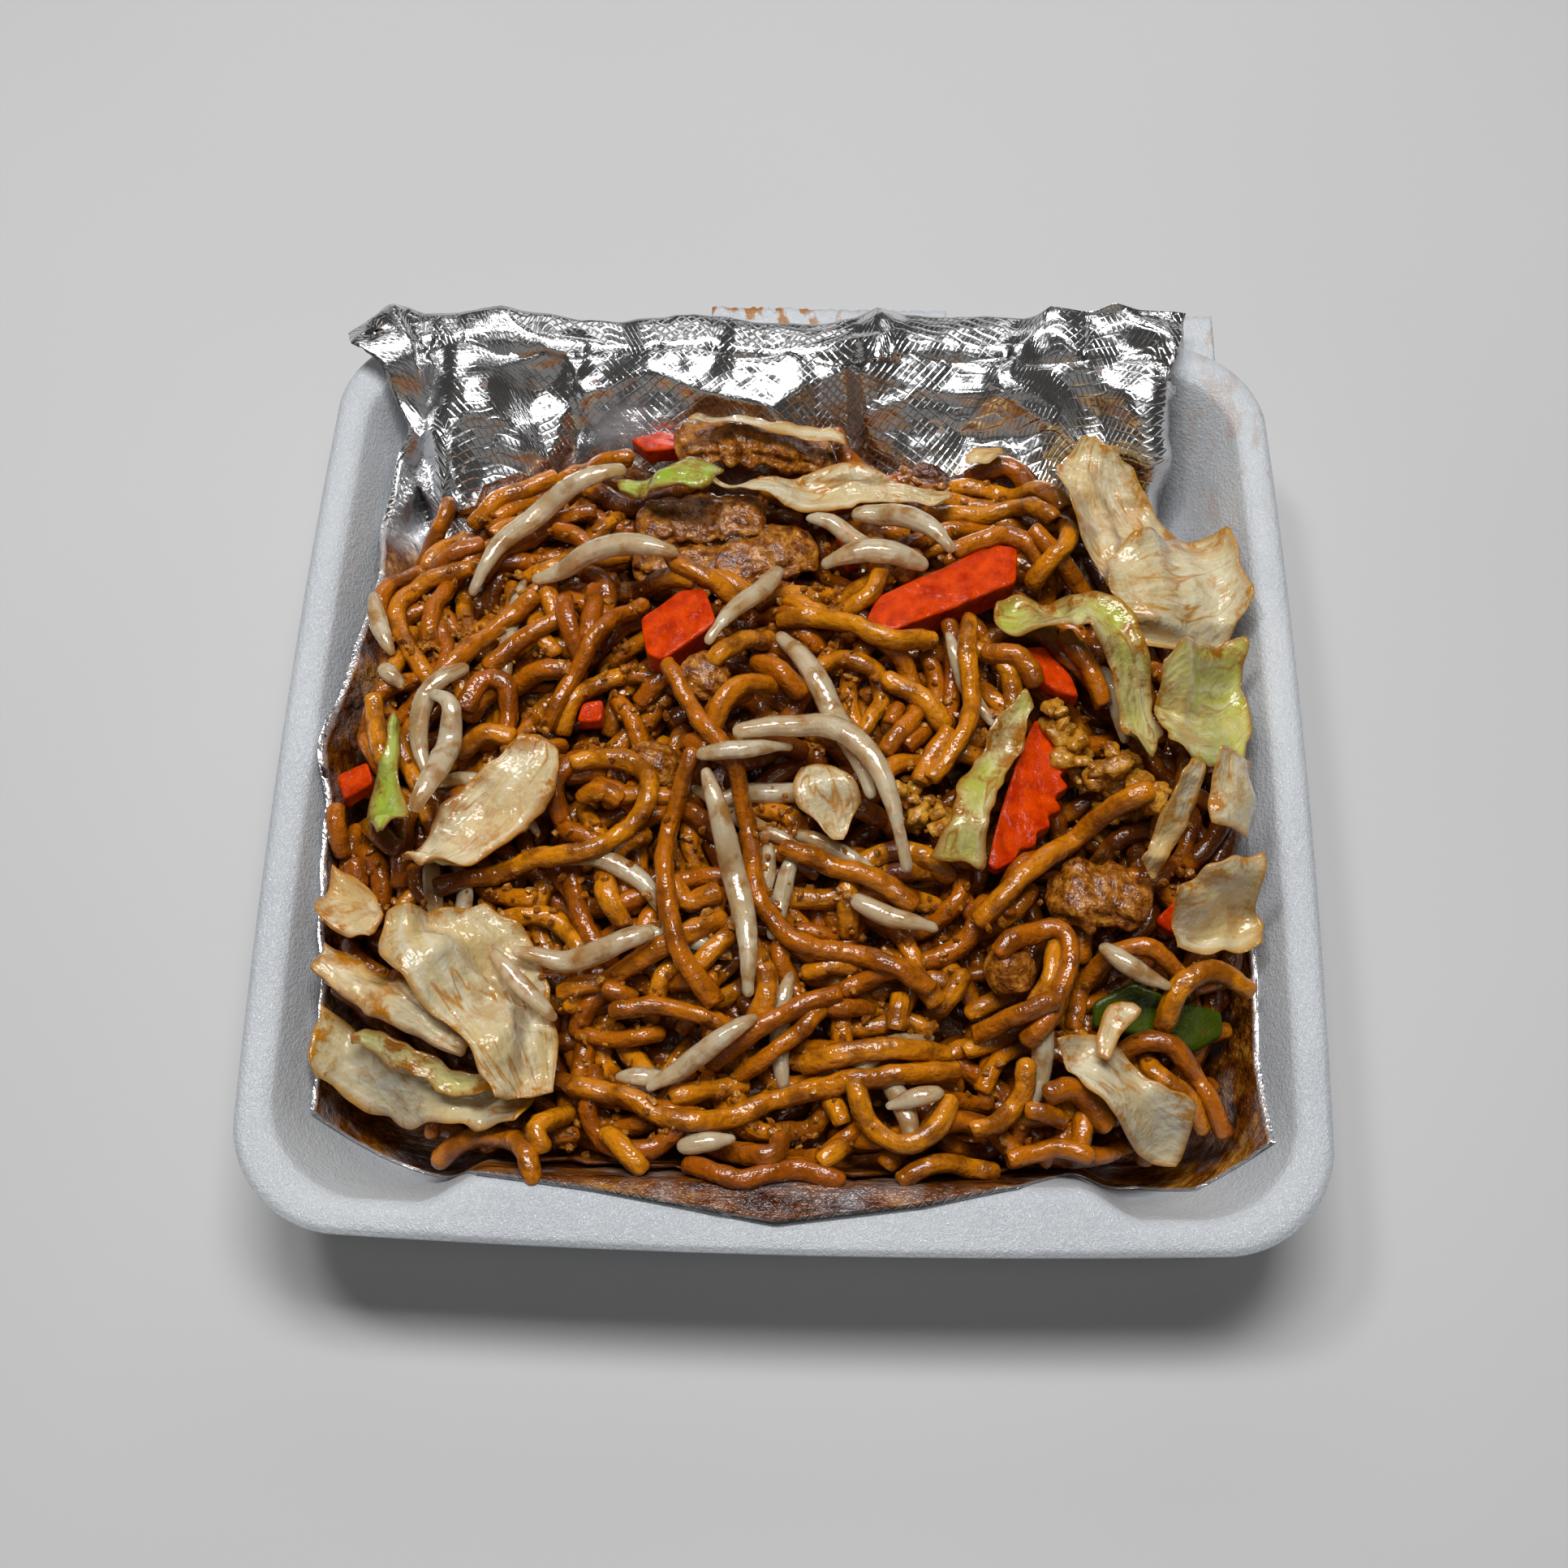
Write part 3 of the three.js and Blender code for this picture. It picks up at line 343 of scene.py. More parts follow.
FOIL_RIDGES = [
    ([(-105, 117), (-101, 105), (-95, 88), (-88, 74)], 3.2, 8),
    ([(-116, 106), (-112, 99), (-95, 86)], 2.5, 6),
    ([(-79, 118), (-70, 111), (-60, 109), (-55, 101)], 2.2, 9),
    ([(-80, 96), (-67, 86), (-60, 101), (-56, 109)], 2.5, 7),
    ([(-53, 102), (-39, 105), (-22, 101), (-8, 98), (0, 105), (13, 109), (18, 106)], 2.8, 7),
    ([(19, 98), (31, 102), (48, 101), (62, 95), (79, 91)], 2.4, 8),
    ([(18, 123), (21, 113), (17, 106), (19, 93)], 2.4, 6),
    ([(65, 122), (54, 109), (52, 104), (64, 99)], 2.2, 6), ([(79, 122), (93, 113), (94, 100)], 2.8, 6),
    ([(66, 114), (73, 108), (83, 103), (89, 90)], 2.6, 7), ([(-19, 120), (-23, 107)], 1.5, 7),
    ([(65, 122), (86, 124), (100, 124)], 2.5, 5), ([(-89, 91), (-84, 73)], 2, 6),
]
FOIL_CREASES = [(3, 12, 60, 20, 2.8), (8, 14, 14, 5, 0.45)]  # seed, count, longest, shortest, height
CREASE_LEAN = 0.6
CRUMPLE_LEVEL = 1.2
FOIL_GAP = 0.8
FOIL_CLEARANCE = 0.6
FOIL_HANG_FROM = (108, 39.5)
FOIL_HANG_SLOPE = 0.62
HANG_SWAY = (0.07, 1.8)  # how the sway of the sheet changes its slope, and shifts it back
HANG_ENDS = (88, 104)
HANG_FALL = 40
FOIL_THICK = 0.12
FOIL_COLUMNS = 216
FOIL_ROWS = [(0.0, 0.12, 26), (0.12, 0.78, 46), (0.78, 1.0, 72)]  # share of the depth, and rows in it
RIM_WIDTH = 6
RIM_HEIGHT = 40.2
FOIL_DROOP = 0.3
DIAMOND = 2.6
STAIN_REACHES_BACK = 14  # how much farther back the sauce got at both sides
STAIN_TO, STAIN_FADE = 46, 60
BRIGHT_FOIL = (0.86, 0.86, 0.87)
BURNT_SAUCE, BROWN_SAUCE, THIN_SAUCE = (0.05, 0.009, 0.0006), (0.19, 0.052, 0.003), (0.52, 0.23, 0.03)


def along(points, value):
    points = np.array(sorted(points), float)
    return np.interp(value, points[:, 0], points[:, 1])


def tray_inside(x, y):
    """Height of the tray's inner surface, or of its rim."""
    shape = np.broadcast(x, y).shape
    least, most = np.zeros(shape), np.full(shape, 60.0)
    bow_x = TRAY_BOW / TRAY_HALF * (1 - np.clip(np.abs(y) / TRAY_HALF, 0, 1) ** 2)
    bow_y = TRAY_BOW / TRAY_HALF * (1 - np.clip(np.abs(x) / TRAY_HALF, 0, 1) ** 2)
    shelf = LIP_SHELF * (1 - smoothstep(LIP_FLAT, LIP_END, np.abs(x) / (1 + bow_x))) * (y < 0)
    for _ in range(16):
        inset = (least + most) / 2
        radius = TRAY_CORNER - CORNER_TIGHTENING * inset
        out_x = np.abs(x) - (TRAY_HALF - inset) * (1 + bow_x) + radius
        out_y = np.abs(y) - (TRAY_HALF - inset) * (1 + bow_y) + lip_at(inset, shelf) + radius
        round_corner = np.hypot(np.maximum(out_x, 0), np.maximum(out_y, 0))
        beyond = round_corner + np.minimum(np.maximum(out_x, out_y), 0) > radius
        least, most = np.where(beyond, least, inset), np.where(beyond, inset, most)
    return np.interp(least, inside[:, 0], inside[:, 1])


def creases(x, y, seed, count, longest, shortest, height):
    """The sharp ridges and hollows of crumpled foil: overlapping folds at all angles."""
    dice = np.random.default_rng(seed)
    total = np.zeros_like(x)
    for _ in range(count):
        length = longest * (shortest / longest) ** dice.random()
        angle, phase, tilt = dice.uniform(0, math.pi), dice.random(), dice.uniform(0.5, 2)
        along_fold = (x * math.cos(angle) + y * math.sin(angle)) / length
        across = (y * math.cos(angle) - x * math.sin(angle)) / length
        fold = np.abs((along_fold + phase + 0.12 * np.sin(across * tilt + phase * 9)) % 1 - 0.5) * 2
        patch = np.sin(x / length / 1.9 + phase * 20) * np.sin(y / length / 2.3 + phase * 33)
        total += height * length / longest * fold * smoothstep(-0.1, 0.7, patch)
    return total


def ridge_along(x, y, line, rise, reach):
    """A tent-shaped fold that follows a line of points."""
    line = np.array(line, float)
    nearest = np.full(x.shape, 1e9)
    for a, b in zip(line[:-1], line[1:]):
        t = np.clip(((x - a[0]) * (b - a)[0] + (y - a[1]) * (b - a)[1]) / ((b - a) @ (b - a)), 0, 1)
        nearest = np.minimum(nearest, np.hypot(x - a[0] - t * (b - a)[0], y - a[1] - t * (b - a)[1]))
    return rise * np.maximum(0, 1 - nearest / reach) ** 1.3


foil_v = np.concatenate([np.linspace(a, b, n, endpoint=False) for a, b, n in FOIL_ROWS] + [[1.0]])
foil_u = np.linspace(0, 1, FOIL_COLUMNS)
level = FOIL_LEFT[0][0] + (FOIL_LEFT[-1][0] - FOIL_LEFT[0][0]) * foil_v[:, None]
foil_x = along(FOIL_LEFT, level) * (1 - foil_u) + along(FOIL_RIGHT, level) * foil_u
foil_front, foil_back = along(FOIL_FRONT, foil_x), along(FOIL_BACK, foil_x)
foil_y = foil_front + (foil_back - foil_front) * foil_v[:, None]
past_rim = np.maximum(np.abs(foil_x), foil_y) - (TRAY_HALF - RIM_WIDTH)
over_rim = np.where(past_rim > 0, RIM_HEIGHT - FOIL_DROOP * np.maximum(0, past_rim - RIM_WIDTH), 0)
sway = np.sin(foil_x / 11 + 0.5) + 0.7 * np.sin(foil_x / 5.3) + 0.5 * np.sin(foil_x / 26 + 2)
hang_slope = FOIL_HANG_SLOPE + HANG_SWAY[0] * sway
hanging = FOIL_HANG_FROM[1] - hang_slope * np.abs(foil_y - FOIL_HANG_FROM[0] - HANG_SWAY[1] * sway)
hanging = np.where(foil_y > 50, hanging - HANG_FALL * smoothstep(*HANG_ENDS, np.abs(foil_x)), 0)
foil_z = np.maximum(np.maximum(over_rim, hanging), tray_inside(foil_x, foil_y)) + FOIL_GAP
for fold_x, fold_y, reach, rise in FOIL_FOLDS:
    foil_z = foil_z + rise * np.exp(-((foil_x - fold_x) ** 2 + (foil_y - fold_y) ** 2) / reach ** 2)
foil_points = np.stack([foil_x, foil_y, foil_z], -1)


def surface_normals(points):
    down, right = np.gradient(points, axis=0), np.gradient(points, axis=1)
    normal = np.cross(right, down)
    return normal / np.linalg.norm(normal, axis=-1, keepdims=True)


crumple = sum(creases(foil_x, foil_y + CREASE_LEAN * foil_z, *kind) for kind in FOIL_CREASES)
crumple = np.maximum(crumple - crumple.mean() + CRUMPLE_LEVEL, 0)
for line, rise, reach in FOIL_RIDGES:
    crumple += ridge_along(foil_x, foil_y, line, rise, reach)
foil_points = foil_points + surface_normals(foil_points) * crumple[..., None]
clear_of_tray = tray_inside(foil_points[..., 0], foil_points[..., 1]) + FOIL_CLEARANCE
foil_points[..., 2] = np.maximum(foil_points[..., 2], clear_of_tray)
down_mm = np.cumsum(np.linalg.norm(np.diff(foil_points, axis=0, prepend=foil_points[:1]), axis=-1), 0)
foil_under = foil_points - surface_normals(foil_points) * FOIL_THICK

foil, tree, shader = start_material("embossed_foil", BRIGHT_FOIL, 0.2, Metallic=1.0)
run = add_node(tree, "ShaderNodeSeparateXYZ", {0: attribute(tree, "sheet_mm", "Vector")})
slants = [calculate(tree, way, run.outputs[0], run.outputs[1]) for way in ("ADD", "SUBTRACT")]
ridge = calculate(tree, "MINIMUM", *(calculate(tree, "PINGPONG", slant, DIAMOND / 2) for slant in slants))
raised = add_node(tree, "ShaderNodeMapRange", {"Value": ridge, "From Max": 0.5},
                  interpolation_type="SMOOTHSTEP").outputs[0]
pressed = ramp(tree, noise(tree, 0.045, 2), (0.40, 0.25), (0.60, 1.0))
emboss = calculate(tree, "MULTIPLY", raised, pressed)
patchy = ramp(tree, noise(tree, 0.10, 5), (0.28, 0.75), (0.5, 1.0))
splash = ramp(tree, noise(tree, 0.24, 3), (0.69, 0.0), (0.73, 0.7))
splashed = calculate(tree, "MAXIMUM", calculate(tree, "MULTIPLY", attribute(tree, "stain"), patchy), splash)
streaky = noise(tree, 0.11, 5, (0.5, 1.2, 1.2), rough=0.65)
sauce_film = ramp(tree, streaky, (0.38, BURNT_SAUCE), (0.52, BROWN_SAUCE), (0.66, THIN_SAUCE))
bare = ramp(tree, noise(tree, 0.09, 3), (0.54, 0.0), (0.74, 0.5))
tree.links.new(mix(tree, splashed, (1.0, 1.0, 1.0), bare), shader.inputs["Metallic"])
tree.links.new(mix(tree, splashed, BRIGHT_FOIL, sauce_film), shader.inputs["Base Color"])
tree.links.new(ramp(tree, splashed, (0, 0.17), (1, 0.22)), shader.inputs["Roughness"])
crinkles = noise(tree, 0.30, 4, (0.35, 1, 1), rough=0.6)
under_sauce = calculate(tree, "MULTIPLY", crinkles, attribute(tree, "stain"))
bump(tree, shader, (emboss, 0.11), (cells(tree, 0.045), 2.2), (crinkles, 0.10), (under_sauce, 2.0))

lining = make_piece("foil_sheet", *closed_sheet(foil_under, foil_points), foil)
sheet_mm = np.stack([foil_x, down_mm, 0 * foil_x], -1).reshape(-1, 3)
mark_points(lining.data, "sheet_mm", np.vstack([sheet_mm, sheet_mm]))
from_food = foil_y - STAIN_REACHES_BACK * smoothstep(60, 90, np.abs(foil_x)) + 4 * np.sin(foil_x / 9)
stain_patch = 0.4 * np.exp(-((foil_x + 45) / 7) ** 2 - ((foil_y - 94) / 4) ** 2)
stain = np.maximum(1 - smoothstep(STAIN_TO, STAIN_FADE, from_food), stain_patch)
stain[0] = stain[:, 0] = stain[:, -1] = 0
mark_points(lining.data, "stain", np.tile(np.clip(stain, 0, 1).ravel(), 2))
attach(lining, "root")
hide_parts("foil_lining")

# ---- Bed of the heap ----------------------------------------------------------------------
# The imported middle of the noodles, dark brown with sauce and darker still as painted shade deep in the
# heap. It is dished up first, and everything else is laid on a map of the heights reached so far, so each
# piece rests on those before it.

CELL = 0.5
REACH = 136
EDGE_TOP = 22
DOME = 27
HEAP_SIDE, HEAP_BACK, HEAP_FRONT = 112, 102, 110
DOME_POWER = 2.5
FRONT_RISE = 9
SIDE_RISE = 9
GROUND_SIDE = 105
GROUND_BACK = (88, 4.5)  # how far the heap reaches, and how square its outline is
GROUND_FRONT = (106.5, 3.4)
BED_DROP = 16
BED_UNEVEN = 2
BED_SPOKES = 150
BED_RINGS = 46
OVER_FOIL = 1.6
# Sauce browns darkened further as painted shade, for the bottom of the heap.
SHADED_SAUCE_DARK, SHADED_SAUCE_RED = (0.07, 0.012, 0.001), (0.30, 0.085, 0.004)

steps = np.arange(-REACH, REACH + CELL / 2, CELL)
map_x, map_y = np.meshgrid(steps, steps)
pile = tray_inside(map_x, map_y) + OVER_FOIL


def heap_top(x, y):
    """Height of the whole heap's top: a low dome on a raised front and raised sides."""
    depth = np.where(y > 0, HEAP_BACK, HEAP_FRONT)
    dome = 1 - (np.abs(x) / HEAP_SIDE) ** DOME_POWER - (np.abs(y) / depth) ** DOME_POWER
    front = FRONT_RISE * smoothstep(72, 98, -y) * (1 - smoothstep(55, 95, np.abs(x)))
    sides = SIDE_RISE * smoothstep(62, 95, np.abs(x)) * (1 - smoothstep(25, 70, y))
    return EDGE_TOP + front + sides + DOME * np.maximum(0, dome)


def heap_reach(angle):
    """How far the heap reaches from its middle in this direction."""
    depth, power = GROUND_BACK if math.sin(angle) > 0 else GROUND_FRONT
    across, away = abs(math.cos(angle)) / GROUND_SIDE, abs(math.sin(angle)) / depth
    return (across ** power + away ** power) ** (-1 / power)


def spot_in_heap(angle, share):
    """Places at this share of the heap's reach in these directions."""
    reach = np.array([heap_reach(a) for a in angle]) * share
    return reach * np.cos(angle), reach * np.sin(angle)


def to_cell(value):
    return np.rint((np.asarray(value) + REACH) / CELL).astype(int)


def pile_at(x, y):
    return pile[to_cell(y), to_cell(x)]


def add_to_pile(points, width=1):
    """Raises the map to these points, and to a few cells round each."""
    i, j = to_cell(points[:, 0]), to_cell(points[:, 1])
    for dj in range(-width, width + 1):
        for di in range(-width, width + 1):
            np.maximum.at(pile, (j + dj, i + di), points[:, 2])


add_to_pile(foil_points.reshape(-1, 3) + (0, 0, 0.3))


def wobble(points, size, seed):
    """Smooth unevenness between -1 and 1 with hollows about this many millimetres across."""
    dice = np.random.default_rng(seed)
    total = np.zeros(points.shape[:-1])
    for _ in range(7):
        wave = dice.normal(size=points.shape[-1])
        wave *= dice.uniform(0.6, 1.5) * math.pi / size / np.linalg.norm(wave)
        total += np.sin(points @ wave + dice.uniform(0, 2 * math.pi))
    return total / 7 * 1.6


bed_angle = np.linspace(0, 2 * math.pi, BED_SPOKES, endpoint=False)
bed_share = np.linspace(0.02, 1, BED_RINGS)[:, None]
drawn_in = 0.96 - 0.04 * np.random.default_rng(4).random(BED_SPOKES)
bed_reach = np.array([heap_reach(a) for a in bed_angle]) * drawn_in
bed_x = bed_share * bed_reach * np.cos(bed_angle)
bed_y = bed_share * bed_reach * np.sin(bed_angle)
bed_low = pile_at(bed_x, bed_y) + 0.3
bed_rise = np.sqrt(1 - bed_share ** 8)
bed_high = bed_low + 2 + (heap_top(bed_x, bed_y) - BED_DROP - bed_low - 2) * bed_rise
bed_high = np.maximum(bed_low + 1, bed_high + BED_UNEVEN * wobble(np.stack([bed_x, bed_y], -1), 9, 5))
under = np.stack([bed_x, bed_y, bed_low], -1)
over = np.stack([bed_x, bed_y, bed_high], -1)
add_to_pile(over.reshape(-1, 3), 3)

sauce, tree, shader = start_material("sauce_and_shade_bed", (0.16, 0.035, 0.002), 0.3, Coat_Weight=0.3,
                                     Coat_Roughness=0.1)
# Dark sauce brown with painted shade, varying at random.
sauce_and_painted_shade = ramp(tree, noise(tree, 0.15, 4), (0.35, SHADED_SAUCE_DARK), (0.65, SHADED_SAUCE_RED))
tree.links.new(sauce_and_painted_shade, shader.inputs["Base Color"])
bump(tree, shader, (noise(tree, 0.25, 4), 1.2), (noise(tree, 0.9, 3), 0.5))
bed = make_piece("noodle_bed", *loft(list(under) + list(over[::-1])), sauce)
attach(bed, "root")
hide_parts("noodles")

# ---- Noodles under the rest ---------------------------------------------------------------
# Thick round wheat noodles, fried brown in soy sauce and oil. These ones fill the heap from
# the bed up to what lies on top, curling every way, and are laid down before the rest.

NOODLE_RADIUS = 2.4
NOODLE_STEP = 1.4
NOODLE_STIFFNESS = 0.07
NOODLE_SINK = 1.4
NOODLE_KINK = 0.35
LAID_HEIGHT = 0.93  # height of a noodle over its width, as it is laid
CUT_END = 0.7
DEEP_COUNT = 330
DEEP_BELOW = 10
NOODLE_KNOTS = 0.09  # how uneven a noodle's thickness is
NOODLE_SEED = 23
HEAP_SHARE = 0.97  # how near the heap's edge a loose noodle may lie
SPOTS_TRIED = 26
CURLS_TRIED = 5
CURL_BEND = (-0.045, 0.05)
CURL_ANGLE = 1.3
LENGTH_LIKED = 0.12
TOPPING_DISLIKED = 20
ROUND_ABOUT = ((0, 0), (3, 0), (-3, 0), (0, 3), (0, -3))
KEEP_OFF = 500  # makes covered ground the last choice


def smooth_path(points, step):
    """Evenly spaced points on a smooth curve through the given ones."""
    p = np.array(points, float)
    p = np.vstack([2 * p[0] - p[1], p, 2 * p[-1] - p[-2]])
    t = np.linspace(0, 1, 20, endpoint=False)[:, None]
    dense = [
        0.5 * (2 * b + (c - a) * t + (2 * a - 5 * b + 4 * c - d) * t ** 2 + (3 * b - a - 3 * c + d) * t ** 3)
        for a, b, c, d in zip(p[:-3], p[1:-2], p[2:-1], p[3:])
    ]
    dense = np.vstack(dense + [p[-2:-1]])
    run = np.concatenate([[0], np.cumsum(np.linalg.norm(np.diff(dense, axis=0), axis=1))])
    count = max(4, round(run[-1] / step))
    even = np.linspace(0, run[-1], count + 1)
    even = np.sort(np.concatenate([even, [0.3, 0.7, run[-1] - 0.7, run[-1] - 0.3]]))
    return np.stack([np.interp(even, run, dense[:, axis]) for axis in (0, 1)], 1), even


def lay_strand(points, wide, high, stiffness, sink, dive, step):
    """Centre line of a strand that rests on the pile, and its distance along; the pile grows by it."""
    path, run = smooth_path(points, step)
    n = math.ceil(wide / CELL)
    di, dj = np.meshgrid(np.arange(-n, n + 1), np.arange(-n, n + 1))
    i = to_cell(path[:, 0])[:, None] + di.ravel()
    j = to_cell(path[:, 1])[:, None] + dj.ravel()
    away = np.hypot(steps[i] - path[:, :1], steps[j] - path[:, 1:]) / wide
    dome = np.where(away < 1, high * np.sqrt(np.maximum(0, 1 - away ** 2)), -1000)
    bed_height = (pile[j, i] + dome).max(1) - sink
    apart = run[:, None] - run[None]
    level = (bed_height[None] - stiffness * apart ** 2).max(1)
    level = np.convolve(np.pad(level, 2, mode="edge"), [0.1, 0.2, 0.4, 0.2, 0.1], "valid")
    ends = np.minimum(run, run[-1] - run)
    level = level - dive * np.maximum(0, 1 - ends / 9) ** 2
    np.maximum.at(pile, (j, i), level[:, None] + dome)
    return np.column_stack([path, level]), run


def strand_radius(run, radius, rough, dice):
    """Radius along a strand: a little uneven, and cut nearly square at both ends."""
    knots = radius * (1 + rough * dice.uniform(-1, 1, max(3, int(run[-1] / 6))))
    body = np.interp(run, np.linspace(0, run[-1], len(knots)), knots)
    ends = np.minimum(run, run[-1] - run)
    return body * np.interp(ends, [0, 0.3 * CUT_END, CUT_END, 4 * CUT_END], [0.72, 0.86, 0.95, 1])


noodles_laid = {"deep": [], "middle": [], "top": []}
pick = np.random.default_rng(NOODLE_SEED)


def lay_noodle(layer, points, dive=None):
    """Lays a noodle on the pile, gives it small kinks and keeps it with its layer."""
    thick = NOODLE_RADIUS * pick.uniform(0.9, 1.08)
    dive = pick.uniform(0, 4) if dive is None else dive
    high = thick * LAID_HEIGHT
    line, run = lay_strand(points, thick, high, NOODLE_STIFFNESS, NOODLE_SINK, dive, NOODLE_STEP)
    kinks = smoothstep(0, 5, np.minimum(run, run[-1] - run))[:, None] * NOODLE_KINK
    line = line + kinks * np.stack([wobble(line, 5, 71), wobble(line, 5, 72), 0.6 * wobble(line, 5, 73)], -1)
    noodles_laid[layer].append((line, run, strand_radius(run, thick, NOODLE_KNOTS, pick), pick.random()))


def curl(x, y, heading, half, bend):
    """A short curling path through a point."""
    turns = [(u, heading + bend * u * half) for u in (-1, -0.35, 0.35, 1)]
    return [(x + u * half * math.cos(turn), y + u * half * math.sin(turn)) for u, turn in turns]


covered = np.zeros(pile.shape, bool)


def crosses_topping(points):
    path, _ = smooth_path(points, 3)
    return covered[to_cell(path[:, 1]), to_cell(path[:, 0])].any()


def fill_hollows(layer, count, below, shortest, longest, dive=None):
    """Lays curling noodles where the heap is lowest, up to this far below its full height."""
    for _ in range(count):
        angle = pick.uniform(0, 2 * math.pi, SPOTS_TRIED)
        share = np.sqrt(pick.random(SPOTS_TRIED)) * HEAP_SHARE
        x, y = spot_in_heap(angle, share)
        hollow = sum(heap_top(x + dx, y + dy) - pile_at(x + dx, y + dy) for dx, dy in ROUND_ABOUT)
        lowest = int(np.argmax(hollow - KEEP_OFF * covered[to_cell(y), to_cell(x)]))
        if hollow[lowest] < len(ROUND_ABOUT) * below:
            continue
        best, chosen = -1e9, None
        for _ in range(CURLS_TRIED):
            half, bend = pick.uniform(shortest, longest), pick.uniform(*CURL_BEND)
            turned = pick.uniform(-CURL_ANGLE, CURL_ANGLE) * (1.1 - share[lowest] ** 2)
            heading = angle[lowest] + math.pi / 2 + turned
            points = curl(x[lowest], y[lowest], heading, half, bend)
            path = np.array(points)
            room = (heap_top(*path.T) - pile_at(*path.T)).mean() + LENGTH_LIKED * half
            room -= TOPPING_DISLIKED * crosses_topping(points)
            room -= 5 * np.maximum(0, np.abs(path).max() - GROUND_SIDE)
            if room > best:
                best, chosen = room, points
        if best > below - 3:
            lay_noodle(layer, chosen, dive)


fill_hollows("deep", DEEP_COUNT, DEEP_BELOW, 9, 24, dive=1.5)

# ---- Cut vegetables -----------------------------------------------------------------------
# Carrot and red pepper in slices and batons, one slice cut with a crinkle knife, and a strip
# of green pepper skin. They lie deep in the heap, and some noodles cross them.

SLAB_STEP = 0.8
SLAB_GRAIN = [(7, 0, 0.35), (2.2, 50, 0.12)]  # size of the unevenness, seed and depth
SLOPE_REACH = 6
SAUCE_IN_HOLLOWS = (0.20, 0.035, 0.002)


def cover_ground(outline_points, spread=2):
    """Marks the ground under a topping, which loose noodles keep clear of."""
    i, j = to_cell(outline_points[:, 0]), to_cell(outline_points[:, 1])
    for dj in range(-spread, spread + 1):
        for di in range(-spread, spread + 1):
            covered[j + dj, i + di] = True


def heap_slope(x, y):
    """How steeply the heap's top rises to the right and to the back."""
    reach = SLOPE_REACH
    return np.array([
        (heap_top(x + reach, y) - heap_top(x - reach, y)) / (2 * reach),
        (heap_top(x, y + reach) - heap_top(x, y - reach)) / (2 * reach),
    ])


def slab(outline, high, bevel, seed, lift, lean):
    """Rings of a cut piece with rounded edges, lying on the pile at the heap's own slope."""
    corners = np.array(outline, float)
    following = np.roll(corners, -1, 0)
    if (corners[:, 0] * following[:, 1] - following[:, 0] * corners[:, 1]).sum() < 0:
        corners = corners[::-1]
        following = np.roll(corners, -1, 0)
    edge = []
    for a, b in zip(corners, following):
        count = max(2, int(np.linalg.norm(b - a) / SLAB_STEP))
        edge.append(a + (b - a) * np.linspace(0, 1, count, endpoint=False)[:, None])
    edge = np.vstack(edge)
    for _ in range(2):
        edge = 0.25 * np.roll(edge, 1, 0) + 0.5 * edge + 0.25 * np.roll(edge, -1, 0)
    middle = edge.mean(0)
    slope = heap_slope(*middle) + lean
    away = np.linalg.norm(edge - middle, axis=1, keepdims=True)
    shape = [(0.05, 0, 0), (0.5, 0, 0), (1, bevel, 0), (1, 0.3 * bevel, 0.3 * bevel), (1, 0, bevel)]
    shape += [(1, 0, z) for z in np.arange(bevel + SLAB_STEP, high - bevel, SLAB_STEP)]
    shape += [(1, 0, high - bevel), (1, 0.3 * bevel, high - 0.3 * bevel), (1, bevel, high)]
    shape += [(share, bevel, high) for share in np.arange(0.9, 0.04, -0.1)]
    rings = []
    for share, inward, z in shape:
        flat = middle + (edge - middle) * share * (1 - inward / away)
        rings.append(np.column_stack([flat, z + (flat - middle) @ slope]))
    rings = np.array(rings)
    grain = sum(wobble(rings, size, seed + shift) * depth for size, shift, depth in SLAB_GRAIN)
    rings[..., 2] += grain
    rings[..., :2] += 0.5 * grain[..., None]
    ground = pile_at(rings[2, :, 0], rings[2, :, 1]) - rings[2, :, 2]
    rings[..., 2] += np.quantile(ground, 0.85) + lift
    add_to_pile(rings.reshape(-1, 3))
    cover_ground(rings.reshape(-1, 3))
    return rings


def wet_vegetable(name, deep, light, roughness, grain_scale, bump_depth):
    """A cooked, oily cut vegetable whose flesh varies in colour, with sauce in its hollows."""
    material, tree, shader = start_material(
        name, light, roughness, Subsurface_Weight=0.2, Subsurface_Scale=2 * MM, Specular_IOR_Level=0.05,
        Coat_Weight=0.32, Coat_Roughness=0.04)
    shader.inputs["Subsurface Radius"].default_value = (1.0, 0.2, 0.05)
    shader.inputs["Specular Tint"].default_value = (*light, 1)
    flesh = ramp(tree, noise(tree, grain_scale, 4), (0.34, deep), (0.66, light))
    sauced = ramp(tree, noise(tree, 0.16, 4), (0.60, 0.0), (0.74, 0.6))
    tree.links.new(mix(tree, sauced, flesh, SAUCE_IN_HOLLOWS), shader.inputs["Base Color"])
    bump(tree, shader, (noise(tree, 0.4, 4), bump_depth), (noise(tree, 1.6, 3), 0.10))
    return material


